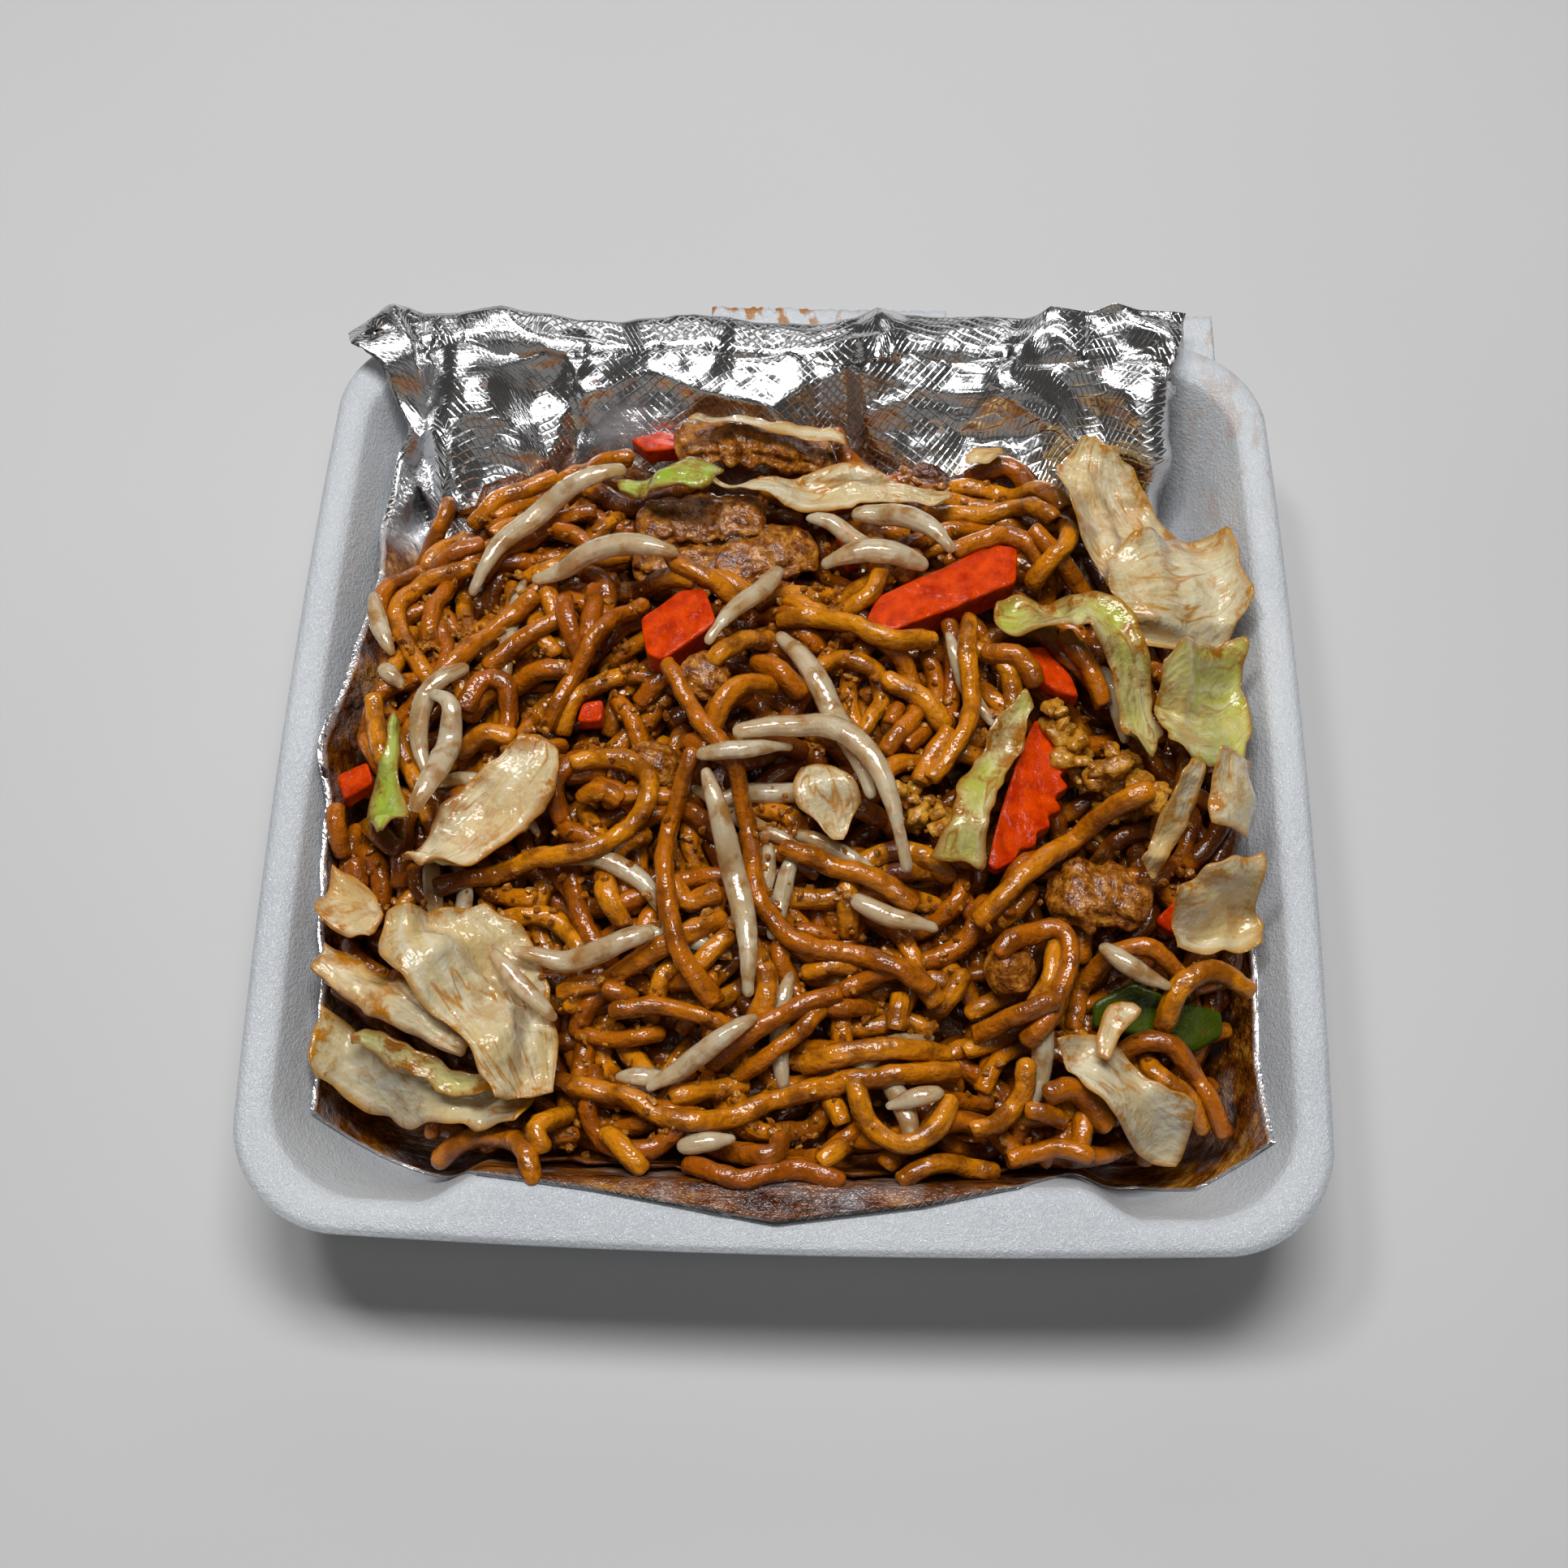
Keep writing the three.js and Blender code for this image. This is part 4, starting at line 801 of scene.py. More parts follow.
carrot = wet_vegetable("cooked_carrot", (0.50, 0.024, 0.0004), (0.80, 0.068, 0.0008), 0.28, 0.30, 0.8)
green_pepper = wet_vegetable("green_pepper_skin", (0.018, 0.032, 0.0006), (0.058, 0.082, 0.002),
                             0.2, 0.12, 0.3)
CUT_PIECES = {  # outline, height, bevel, lift above the pile, and lean to the right and to the back
    "carrot_chunk": ([
        (-36, 25), (-27, 32), (-21, 32), (-18, 22), (-30, 13), (-34, 15),
    ], 9, 0.6, 0.5, (0.14, 0)),
    "carrot_stick": ([(16, 26), (22, 24), (52, 40), (53, 50), (47, 51), (19, 34)], 9, 0.6, 0, (0.06, 0.1)),
    "carrot_back": ([(-43, 85.5), (-36, 88.5), (-29, 86.5), (-30, 80.5), (-38, 79.5)], 6, 0.8, 0, (0, 0)),
    "carrot_left": ([(-106, -9.5), (-98, -7.5), (-96, -13.5), (-103, -16.5)], 5, 0.8, 0, (0, 0)),
    "carrot_small": ([(-50, 2), (-49, 7), (-44, 8), (-44, 2)], 5, 0.6, 2, (0, 0)),
    "carrot_sliver": ([(9, 58), (13, 61), (16, 50), (12, 47)], 5, 0.8, 0, (0, 0)),
    "red_pepper_right": ([(82, -42), (88, -36), (99, -36), (93, -41), (86, -45)], 4, 0.8, 0, (0, 0)),
    "red_pepper_middle": ([(50, 20), (58, 22), (64, 15), (66, 9), (60, 10), (54, 14)], 5, 0.8, 1, (0, 0)),
    "carrot_crinkle": ([
        (56, 5), (61, 4), (60, 0.5), (63.5, -1), (61, -4), (64, -6), (61, -9), (63.5, -11.5), (60, -14),
        (62, -17), (58, -19), (59, -22), (55, -24), (55.5, -27), (51.5, -28), (50.5, -31), (46, -34),
        (44, -33), (46, -24), (49, -14), (52, -4),
    ], 4, 0.6, 2, (0, 0)),
    "green_pepper": ([
        (68, -60), (77, -55), (86, -59), (97, -61), (97, -66), (90, -70), (80, -67), (68, -65),
    ], 3, 0.8, 1, (0, 0)),
}
for seed, (name, (outline, high, bevel, lift, lean)) in enumerate(CUT_PIECES.items()):
    finish = green_pepper if name == "green_pepper" else carrot
    piece = make_piece(name + "_cut", *loft(slab(outline, high, bevel, seed, lift, lean)), finish)
    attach(piece, "root")
    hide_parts(name)

# ---- Meat and egg -------------------------------------------------------------------------
# Slices and scraps of browned meat with the grain showing, and lumps of egg scrambled into
# the noodles, all wet with sauce.

LUMP_SINK = 1.0
LUMP_DIVE = 1.0
LUMP_STIFFNESS = 0.01
LUMP_STEP = 0.9
LUMP_SIDES = 34


def grained_lump(path, wide, high, seed, rough, grain):
    """Rings of an uneven lump along a path, with ridges that run its length."""
    line, run = lay_strand(path, wide, high, LUMP_STIFFNESS, LUMP_SINK, LUMP_DIVE, LUMP_STEP)
    ahead = np.gradient(line, axis=0)
    ahead /= np.linalg.norm(ahead, axis=1, keepdims=True)
    side = np.cross([0, 0, 1], ahead)
    side /= np.linalg.norm(side, axis=1, keepdims=True)
    up = np.cross(ahead, side)
    turn = np.linspace(0, 2 * math.pi, LUMP_SIDES, endpoint=False)
    ends = np.minimum(run, run[-1] - run)
    swell = np.sqrt(1 - np.maximum(0, 1 - (ends + 0.15) / (0.8 * wide)) ** 2)[:, None, None]
    ring = side[:, None] * np.cos(turn)[:, None] * wide + up[:, None] * np.sin(turn)[:, None] * high
    points = line[:, None] + ring * swell
    ridges = grain * np.sin(7 * turn + 2 * wobble(points, 9, seed + 3))
    knobs = wobble(points, 5.5, seed) + 0.7 * wobble(points, 2.4, seed + 9)
    knobs += 0.4 * wobble(points, 1.3, seed + 5)
    points += (points - line[:, None]) * (rough * knobs + ridges)[..., None]
    cover_ground(points.reshape(-1, 3))
    add_to_pile(points.reshape(-1, 3))
    return list(points)


def savoury(name, dark, middle, light, grain_scale, depth, gloss):
    """Browned food under a film of sauce, from dark to light with its grain."""
    material, tree, shader = start_material(
        name, middle, gloss, Specular_IOR_Level=0.2, Coat_Weight=1.0, Coat_Roughness=0.05,
        Subsurface_Weight=0.15, Subsurface_Scale=1.5 * MM)
    shader.inputs["Specular Tint"].default_value = (1.0, 0.8, 0.5, 1)
    tone = ramp(tree, noise(tree, grain_scale, 5, rough=0.65), (0.36, dark), (0.5, middle), (0.64, light))
    tree.links.new(tone, shader.inputs["Base Color"])
    bump(tree, shader, (noise(tree, 0.4, 4), depth), (noise(tree, 1.1, 3), 0.35))
    return material


meat = savoury("browned_meat", (0.10, 0.017, 0.001), (0.33, 0.098, 0.004), (0.58, 0.24, 0.030),
               0.38, 1.7, 0.3)
egg = savoury("fried_egg", (0.22, 0.055, 0.002), (0.50, 0.195, 0.008), (0.70, 0.36, 0.045),
              0.28, 1.0, 0.3)
MEAT_LUMPS = {  # path, half width, half height, roughness of the surface, and depth of the grain
    "meat_slice_lower": ([(-40, 50), (-22, 47), (-6, 50), (4, 55)], 7, 2.6, 0.30, 0.13),
    "meat_slice_back": ([(-31, 79), (-20, 82), (-6, 83), (9, 83)], 5.5, 2.4, 0.30, 0.13),
    "meat_right": ([(58, -40), (69, -37), (80, -42)], 7, 4, 0.26, 0.10),
    "meat_ball": ([(44, -58), (54, -54)], 5.5, 4.5, 0.2, 0.03),
    "meat_middle": ([(-25, 12), (-16, 5)], 5, 2.4, 0.24, 0.10),
    "meat_left": ([(-38, -6), (-26, -9)], 5, 2.4, 0.24, 0.10),
}
EGG_HEAPS = {  # path, spread, count of curds, and their smallest and largest radius
    "egg_right": ([(60, 3), (68, -4), (78, -12), (84, -18)], 7, 60, (1.4, 3.2)),
    "egg_middle": ([(24, -15), (30, -19), (36, -22)], 4.5, 22, (1.2, 2.6)),
}


def make_lump(name, path, wide, high, rough, grain, seed):
    piece = make_piece(name + "_piece", *loft(grained_lump(path, wide, high, seed, rough, grain)), meat)
    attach(piece, "root")
    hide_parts(name)


def crumble(path, spread, count, sizes, seed):
    """Many small curdled lumps heaped along a path, as corners and faces of one mesh."""
    dice = np.random.default_rng(seed)
    line, _ = smooth_path(path, 1)
    lean = np.linspace(0.25, math.pi - 0.25, 9)[:, None]
    turn = np.linspace(0, 2 * math.pi, 14, endpoint=False)
    round_ball = (np.sin(lean) * np.cos(turn), np.sin(lean) * np.sin(turn), -np.cos(lean))
    round_ball = np.stack(np.broadcast_arrays(*round_ball), -1)
    curds = []
    for _ in range(count):
        size = dice.uniform(*sizes)
        middle = line[dice.integers(len(line))] + spread * dice.normal(0, 0.42, 2)
        stretch = np.array([dice.uniform(0.9, 1.7), dice.uniform(0.7, 1.1), dice.uniform(0.4, 0.7)])
        place = np.array([*middle, pile_at(*middle) + 0.25 * size])
        angle = dice.uniform(0, math.pi)
        c, s = math.cos(angle), math.sin(angle)
        ball = (round_ball * size * stretch) @ np.array([[c, s, 0], [-s, c, 0], [0, 0, 1]]) + place
        folds = 0.6 * np.abs(wobble(ball, 2.6, seed)) ** 0.8 + 0.22 * wobble(ball, 1.2, seed + 1) - 0.1
        ball = ball + (ball - place) * (folds - 0.1)[..., None]
        curds.append(loft(list(ball)))
        add_to_pile(ball.reshape(-1, 3))
        cover_ground(ball.reshape(-1, 3), 0)
    return join_bodies(curds)


for seed, (name, (path, wide, high, rough, grain)) in enumerate(MEAT_LUMPS.items()):
    make_lump(name, path, wide, high, rough, grain, seed)
for seed, (name, (path, spread, count, sizes)) in enumerate(EGG_HEAPS.items()):
    piece = make_piece(name + "_curds", *crumble(path, spread, count, sizes, 31 + seed), egg)
    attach(piece, "root")
    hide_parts(name)

# ---- Noodles between the toppings ---------------------------------------------------------
# Where the heap is still low, loose noodles fill it to the level of the toppings. The long
# ones that show best then follow, in the order in which they bury each other.

MIDDLE_COUNT = 190
MIDDLE_BELOW = 7
STIRRED_IN_COUNT = 18
STIRRED_IN_SHARE = 0.88
STIRRED_IN_SPOTS = 6
STIRRED_IN_RADIUS = (1.9, 2.6)
STIRRED_IN_HALF = (9, 17)
STIRRED_IN_BEND = 0.03

fill_hollows("middle", MIDDLE_COUNT, MIDDLE_BELOW, 8, 20)
stirred_in = []
while len(stirred_in) < STIRRED_IN_COUNT:
    angle = pick.uniform(0, 2 * math.pi, STIRRED_IN_SPOTS)
    x, y = spot_in_heap(angle, np.sqrt(pick.random(STIRRED_IN_SPOTS)) * STIRRED_IN_SHARE)
    lowest = int(np.argmax(heap_top(x, y) - pile_at(x, y) - KEEP_OFF * covered[to_cell(y), to_cell(x)]))
    wide = pick.uniform(*STIRRED_IN_RADIUS)
    heading, half = pick.uniform(0, math.pi), pick.uniform(*STIRRED_IN_HALF)
    points = curl(x[lowest], y[lowest], heading, half, pick.uniform(-STIRRED_IN_BEND, STIRRED_IN_BEND))
    if not crosses_topping(points):
        stirred_in.append((*lay_strand(points, wide, wide * 0.7, 0.03, 0.8, 1.5, NOODLE_STEP), wide))

LONG_NOODLES = [
    [(-42, 80), (-55, 79), (-66, 74), (-78, 64)],
    [(-62, 78), (-73, 72), (-82, 64)], [(-50, 64), (-62, 62), (-72, 54), (-78, 46)],
    [(-78, 56), (-86, 52), (-93, 46)], [(-60, 60), (-54, 56), (-48, 52)],
    [(-80, 49), (-91, 45), (-97, 37), (-94, 27), (-86, 15)], [(-63, 42), (-52, 47), (-41, 50)],
    [(-62, 36), (-72, 27), (-80, 15), (-87, 7)], [(-52, 29), (-62, 24), (-72, 16)],
    [(-55, 34), (-53, 25), (-50, 18)], [(-48, 38), (-48, 28), (-49, 22)],
    [(-36, 34), (-44, 26), (-50, 15), (-57, 1)], [(-76, 3), (-72, 11), (-67, 10), (-67, -1), (-74, -2)],
    [(-99, 10), (-97, 0), (-93, -10)], [(-92, -2), (-88, -10), (-84, -16)],
    [(-105, -18), (-103, -28)], [(-98, -20), (-92, -27), (-88, -30)], [(-100, -30), (-98, -36)],
    [(-77, -6), (-71, -2), (-64, -3)], [(-48, -18), (-43, -17), (-38, -20)],
    [(32, 66), (44, 64), (54, 66), (62, 58)], [(42, 80), (52, 82), (58, 76)],
    [(38, 77), (50, 75), (59, 70), (64, 61)],
    [(-24, 43), (-16, 41), (-10, 37), (-7, 33)], [(-31, 45), (-28, 38), (-20, 34), (-12, 29)],
    [(-4, 28), (4, 28), (12, 25), (22, 20), (33, 23)], [(3, 15), (10, 17), (18, 15), (20, 8), (16, -1)],
    [(24, 5), (22, 0)], [(21, 12), (28, 8), (35, 1)], [(44, 19), (52, 17), (56, 11)],
    [(62, 24), (68, 16), (72, 8)], [(82, 30), (83, 20), (84, 12)], [(84, 22), (90, 16)],
    [(36, -1), (31, -9), (29, -14)], [(41, 30), (40, 18), (41, 6), (37, -6), (31, -14)],
    [(-4, 8), (-13, 4), (-18, -5)], [(-9, 14), (-3, 10), (2, 6)], [(-5, 24), (-12, 18), (-19, 11)],
    [(-13, -7), (-5, -5), (3, -6)], [(-26, -38), (-22, -43), (-15, -41)],
    [(-50, -11), (-42, -8), (-34, -11), (-32, -19), (-37, -27), (-46, -33), (-58, -33), (-70, -36),
     (-79, -40)],
    [(-2, -31), (8, -34), (20, -38), (28, -43)], [(42, -46), (54, -34), (66, -24), (80, -18)],
    [(46, -54), (52, -49), (59, -47), (62, -52), (60, -60), (57, -68), (52, -73)],
    [(41, -70), (50, -68), (58, -65)], [(25, -62), (24, -70)],
    [(83, -66), (87, -58), (94, -54), (103, -57)], [(80, -70), (81, -75), (88, -80), (93, -86)],
    [(70, -75), (76, -70), (84, -70), (92, -78), (97, -87)],
    [(-14, -46), (-24, -52), (-36, -58), (-50, -62)], [(-12, -50), (-18, -56), (-22, -60)],
    [(-9, -51), (-5, -58), (-4, -65), (-8, -72)], [(2, -52), (10, -56), (20, -55), (28, -58), (33, -64)],
    [(4, -58), (15, -56)], [(12, -62), (22, -58), (26, -57)],
    [(-40, -62), (-33, -64)], [(-38, -67), (-26, -66), (-12, -70)],
    [(-20, -100), (-9, -104), (3, -101), (13, -103.5)], [(-38, -93), (-33, -98), (-29, -102)],
    [(-8, -98), (-2, -99), (0, -94)], [(8, -100), (14, -95)], [(25, -103), (33, -99), (46, -99)],
    [(48, -97), (58, -94), (66, -96)], [(-46, -88), (-52, -94), (-50, -99)], [(10, -84), (13, -91)],
    [(52, -77), (51, -84), (46, -90), (40, -92)], [(52, -87), (60, -88)],
    [(56, -84), (63, -82), (68, -87), (70, -89)], [(4, -78), (16, -76), (36, -74)],
    [(-46, -83), (-34, -86), (-24, -91), (-14, -91), (0, -85), (16, -82), (38, -78)],
    [(15, -83), (18, -91), (25, -96), (32, -93), (36, -86)], [(-24, -86), (-18, -84), (-8, -81)],
    [(-10, -80), (0, -74), (8, -66)], [(-16, -78), (-6, -72), (4, -66), (12, -63)],
    [(-22, -11), (-27, -26), (-27, -41), (-23, -56), (-15, -66)],
    [(-29, 11), (-21, -4), (-13, -13), (-9, -28), (-6, -43), (3, -53), (16, -55), (32, -62)],
]
for points in LONG_NOODLES:
    lay_noodle("top", points, dive=pick.uniform(0, 2.5))
make_lump("meat_slice_upper", [(-39, 55), (-26, 59), (-8, 60)], 6, 1.8, 0.2, 0.06, 17)

# ---- Cabbage and spring onion -------------------------------------------------------------
# Torn white and green cabbage, limp and shiny, and slices of spring onion leaf. Each piece is
# a thin sheet draped over what it lies on, with its edges lifting and stained by the sauce.

LEAF_STEP = 0.85
LEAF_RAGGED = 5
LEAF_SOAK = 0.15
SOAKED_MORE = {"cabbage_back_right": 0.6}


def edge_curve(points, shares):
    path, run = smooth_path(points, 1.0)
    at = np.asarray(shares) * run[-1]
    return np.stack([np.interp(at, run, path[:, axis]) for axis in (0, 1)], -1)


def evened(heights, reach):
    """The map of heights averaged over a square of this many millimetres each way."""
    n = round(reach / CELL)
    for _ in range(2):
        total = np.cumsum(np.pad(heights, ((n + 1, n), (0, 0)), mode="edge"), 0)
        heights = ((total[2 * n + 1:] - total[:-2 * n - 1]) / (2 * n + 1)).T
    return heights


general_slope = evened(pile, 5)


def rest_height(x, y, stiffness, span):
    """The height at which a sheet that bends no tighter than its stiffness lies on the pile."""
    n = math.ceil(span / CELL)
    offsets = np.arange(-n, n + 1) * CELL
    sag = stiffness * (offsets[:, None] ** 2 + offsets ** 2)
    bumps = pile - general_slope
    heights = np.empty(x.shape)
    for at in np.ndindex(x.shape):
        i, j = to_cell(x[at]), to_cell(y[at])
        heights[at] = general_slope[j, i] + (bumps[j - n:j + n + 1, i - n:i + n + 1] - sag).max()
    return heights


def stretch_grid(grid, rows, columns):
    """The same grid of values on finer rows and columns."""
    r = np.linspace(0, grid.shape[0] - 1, rows)
    c = np.linspace(0, grid.shape[1] - 1, columns)
    tall = np.array([np.interp(r, np.arange(grid.shape[0]), grid[:, k]) for k in range(grid.shape[1])]).T
    return np.array([np.interp(c, np.arange(grid.shape[1]), row) for row in tall])


def draped_leaf(right, left, thick=0.45, stiffness=0.015, span=9, wave=0.8, lift=1.5, rib=0.0, seed=0):
    """Two grids of points, under and over, of a leaf between two edges, and its place across."""
    length = smooth_path(right, 1.0)[1][-1]
    width = np.linalg.norm(edge_curve(right, [0.5])[0] - edge_curve(left, [0.5])[0])
    rows, columns = int(length / LEAF_STEP) + 4, max(8, int(width / LEAF_STEP) + 2)
    v, u = np.meshgrid(np.linspace(-1, 1, rows), np.linspace(-1, 1, columns), indexing="ij")
    rounded_v, rounded_u = v * np.sqrt(1 - 0.05 * u ** 4), u * np.sqrt(1 - 0.07 * v ** 8)
    share = (rounded_v + 1) / 2
    one, other = edge_curve(left, share), edge_curve(right, share)
    flat = one + (other - one) * ((rounded_u + 1) / 2)[..., None]
    inward = np.minimum((1 - np.abs(u)) * width / 2, (1 - np.abs(v)) * length / 2)
    ragged = np.maximum(0, 1 - inward / LEAF_RAGGED)
    tears = 1.2 * np.stack([wobble(flat, 9, seed), wobble(flat, 9, seed + 1)], -1)
    tears += 0.5 * np.stack([wobble(flat, 3.5, seed + 4), wobble(flat, 3.5, seed + 5)], -1)
    flat += ragged[..., None] * tears
    height = stretch_grid(rest_height(*flat[::2, ::2].transpose(2, 0, 1), stiffness, span), rows, columns)
    for _ in range(2):
        soft = np.pad(height, 1, mode="edge")
        beside = soft[:-2, 1:-1] + soft[2:, 1:-1] + soft[1:-1, :-2] + soft[1:-1, 2:]
        height = (beside + 2 * soft[1:-1, 1:-1]) / 6
    x, y = flat[..., 0], flat[..., 1]
    height = np.maximum(height, pile_at(x, y) - 0.4) + 0.15
    curling = lift * ragged ** 2 * (0.5 + 0.5 * wobble(flat, 9, seed + 3))
    height += wave * (1 + wobble(flat, 11, seed + 2)) / 2 + curling
    folds = creases(x, y, seed + 60, 4, 30, 14, 0.5 * wave + 0.4)
    height += folds - folds.min() + creases(x, y, seed + 61, 6, 9, 4.5, 0.55)
    height += rib * np.exp(-(u / 0.35) ** 2) + 0.25 * rib * np.abs(np.sin(8 * u))
    low = np.dstack([flat, height])
    high = np.dstack([flat, height + thick * (0.35 + 0.65 * smoothstep(0, 1.5, inward))])
    across, down = low[0, -1] - low[0, 0], low[-1, 0] - low[0, 0]
    if across[0] * down[1] - across[1] * down[0] < 0:
        low, high, inward, u, v = (grid[:, ::-1] for grid in (low, high, inward, u, v))
    add_to_pile(high.reshape(-1, 3))
    cover_ground(high[inward > 2], 1)
    return low, high, inward, np.stack([u * width / 2, v * length / 2, 0 * u], -1)


def leaf_material(name, flesh, tint, vein, stain):
    """Cooked leaf: thin and milky, with pale veins, and brown where the sauce has run to its edges."""
    material, tree, shader = start_material(
        name, flesh, 0.3, Subsurface_Weight=0.3, Subsurface_Scale=3 * MM, Specular_IOR_Level=0.15,
        Coat_Weight=1.0, Coat_Roughness=0.025)
    shader.inputs["Subsurface Radius"].default_value = (1, 0.75, 0.35)
    place = attribute(tree, "leaf_place", "Vector")
    patchy = ramp(tree, noise(tree, 0.055, 4), (0.38, flesh), (0.62, tint))
    strands = noise(tree, 0.32, 2, (1, 0.12, 1), place)
    branches = noise(tree, 0.5, 3, (1, 0.5, 1), place)
    veined = mix(tree, ramp(tree, strands, (0.50, 0.0), (0.64, 0.5)), patchy, vein)
    sauce_lines = ramp(tree, noise(tree, 0.13, 3, (1, 0.22, 1), place), (0.47, 0.0), (0.50, 0.9), (0.53, 0.0))
    broken = ramp(tree, noise(tree, 0.06, 3), (0.43, 0.0), (0.55, 1.0))
    lined = calculate(tree, "MULTIPLY", sauce_lines, broken)
    soaked = calculate(tree, "MULTIPLY_ADD", attribute(tree, "soak"), 0.12, noise(tree, 0.11, 6, rough=0.7))
    brown = ramp(tree, soaked, (0.53, 0.0), (0.63, 1.0))
    inward = attribute(tree, "inward")
    rim = ramp(tree, inward, (0.0, 1.6), (0.12, 1.1), (0.35, 0.6), (0.8, 0.45))
    edge = ramp(tree, inward, (0.0, 0.95), (0.07, 0.55), (0.16, 0.0))
    marks = calculate(tree, "MAXIMUM", calculate(tree, "MULTIPLY", brown, rim, clamp=True), lined)
    marks = calculate(tree, "MAXIMUM", marks, edge)
    tree.links.new(mix(tree, marks, veined, stain), shader.inputs["Base Color"])
    bump(tree, shader, (strands, 0.7), (branches, 0.45), (noise(tree, 0.22, 3), 1.2), film=0.7)
    return material


cabbage = leaf_material(
    "white_cabbage", (0.70, 0.49, 0.21), (0.76, 0.64, 0.40), (0.86, 0.78, 0.58), (0.52, 0.19, 0.006))
green_cabbage = leaf_material(
    "green_cabbage", (0.50, 0.50, 0.065), (0.70, 0.59, 0.23), (0.80, 0.72, 0.42), (0.38, 0.13, 0.005))
spring_onion = leaf_material(
    "spring_onion_leaf", (0.34, 0.46, 0.03), (0.48, 0.55, 0.09), (0.64, 0.68, 0.26), (0.32, 0.15, 0.012))
STIFF = {"stiffness": 0.01, "span": 10}
LEAVES = {  # finish, right edge, left edge, and how the sheet lies
    "cabbage_back_right": (cabbage, [(80, 86), (87, 76), (93, 68), (97, 58), (100, 46)],
                           [(71, 90), (65, 80), (62, 68), (64, 56), (74, 38)],
                           {"wave": 2.6, "lift": 2.5, **STIFF}),
    "cabbage_right_fan": (cabbage, [(77, 25), (90, 24), (101, 29), (109, 38)],
                          [(72, 44), (82, 54), (94, 61), (105, 61)], {"wave": 1.8, "lift": 2, **STIFF}),
    "cabbage_arc": (green_cabbage, [(46, 26), (55, 21), (66, 20), (73, 13), (75, 1), (76, -9)],
                    [(46, 33), (58, 36), (71, 33), (80, 21), (84, 5), (82, -9)], {"lift": 1.5}),
    "cabbage_right_green": (green_cabbage, [(83, -8), (92, -11), (101, -6), (107, 2)],
                            [(83, 13), (91, 19), (99, 24), (106, 27)], {"wave": 1.5, **STIFF}),
    "cabbage_right_narrow": (cabbage, [(91, -13), (88, -25), (80, -37)],
                             [(88, -12), (83, -22), (77, -34)], {}),
    "cabbage_right_inner": (cabbage, [(104, -9), (104, -18), (103, -27)],
                            [(93, -10), (92, -18), (93, -26)], STIFF),
    "cabbage_right_lower": (cabbage, [(85, -51.5), (95, -50.5), (105, -48.5)],
                            [(84, -40.5), (94, -34.5), (105, -31.5)], {"wave": 1.5, **STIFF}),
    "cabbage_front_right": (cabbage, [(61, -79), (69, -86), (79, -92), (87, -93)],
                            [(58, -72), (68, -71), (79, -77), (90, -84)], {"lift": 1}),
    "cabbage_curl_right": (cabbage, [(78, -65), (73, -70), (70, -76)],
                           [(73, -63), (68, -67), (67, -75)], {"thick": 1.3}),
    "cabbage_flat_left": (cabbage, [(-103, -80), (-90, -87), (-74, -91), (-56, -93)],
                          [(-104, -64), (-92, -72), (-76, -80), (-54, -82)],
                          {"wave": 0.6, "lift": 0.5, **STIFF}),
    "cabbage_green_shred": (green_cabbage, [(-95, -74), (-84, -81), (-72, -86), (-61, -86)],
                            [(-95, -71), (-84, -75), (-73, -80), (-62, -82)], {}),
    "cabbage_rib": (cabbage, [(-104, -60), (-95, -67), (-83, -74), (-70, -80)],
                    [(-104, -51), (-93, -58), (-80, -66), (-67, -77)], {"thick": 1.8, "rib": 0.8}),
    "cabbage_left": (cabbage, [(-105, -46), (-99, -51), (-91, -53)],
                     [(-104, -33), (-96, -38), (-88, -47)], {"thick": 1.4, "wave": 1.5, "lift": 2}),
    "cabbage_crinkled": (cabbage, [(-87, -48.5), (-88, -58.5), (-79, -68.5), (-69, -78.5), (-60, -89.5)],
                         [(-68, -43.5), (-58, -49.5), (-52, -61.5), (-49, -73.5), (-48, -86.5)],
                         {"wave": 1.8, "rib": 0.5}),
    "cabbage_centre_left": (cabbage, [(-62, -3.5), (-72, -12.5), (-81, -25.5), (-86, -38.5)],
                            [(-53, -5.5), (-52, -14.5), (-62, -29.5), (-79, -41.5)],
                            {"thick": 1.8, "stiffness": 0.01, "rib": 0.9}),
    "cabbage_by_carrot": (green_cabbage, [(53, 8.5), (44, -3.5), (37, -19.5), (31, -33.5)],
                          [(55, 5.5), (51, -7.5), (46, -18.5), (43, -35.5)], {"lift": 1.5}),
    "cabbage_behind": (cabbage, [(-27, 79.5), (-14, 82.5), (-2, 83.5), (12, 81.5)],
                       [(-26, 83.5), (-14, 87.5), (-1, 88.5), (12, 85.5)], {}),
    "cabbage_arch": (cabbage, [(-24, 68), (-15, 63), (-3, 59), (8, 60), (20, 64), (37, 64)],
                     [(-25, 71), (-15, 68), (-4, 69), (10, 75), (24, 72), (38, 68)], {"wave": 1.2, **STIFF}),
    "cabbage_curl_middle": (cabbage, [(2, -12.5), (1, -20.5), (8, -30.5)],
                            [(10, -13.5), (15, -20.5), (13, -31.5)], {"wave": 2.5, "lift": 2}),
    "cabbage_chip_back": (cabbage, [(42, 79), (46, 78), (50, 80)],
                          [(42, 84), (45, 87), (50, 85)], STIFF),
    "spring_onion_back": (spring_onion, [(-44, 64.5), (-32, 58.5), (-22, 57.5)],
                          [(-44, 68.5), (-31, 69.5), (-18, 65.5)], {"thick": 1.4, "rib": 0.6, **STIFF}),
    "spring_onion_left": (spring_onion, [(-92, 2.5), (-94, -12.5), (-96, -23.5), (-90, -33.5)],
                          [(-90, 0.5), (-89, -12.5), (-87, -24.5), (-88, -32.5)], {"thick": 1.3, "rib": 0.5}),
}
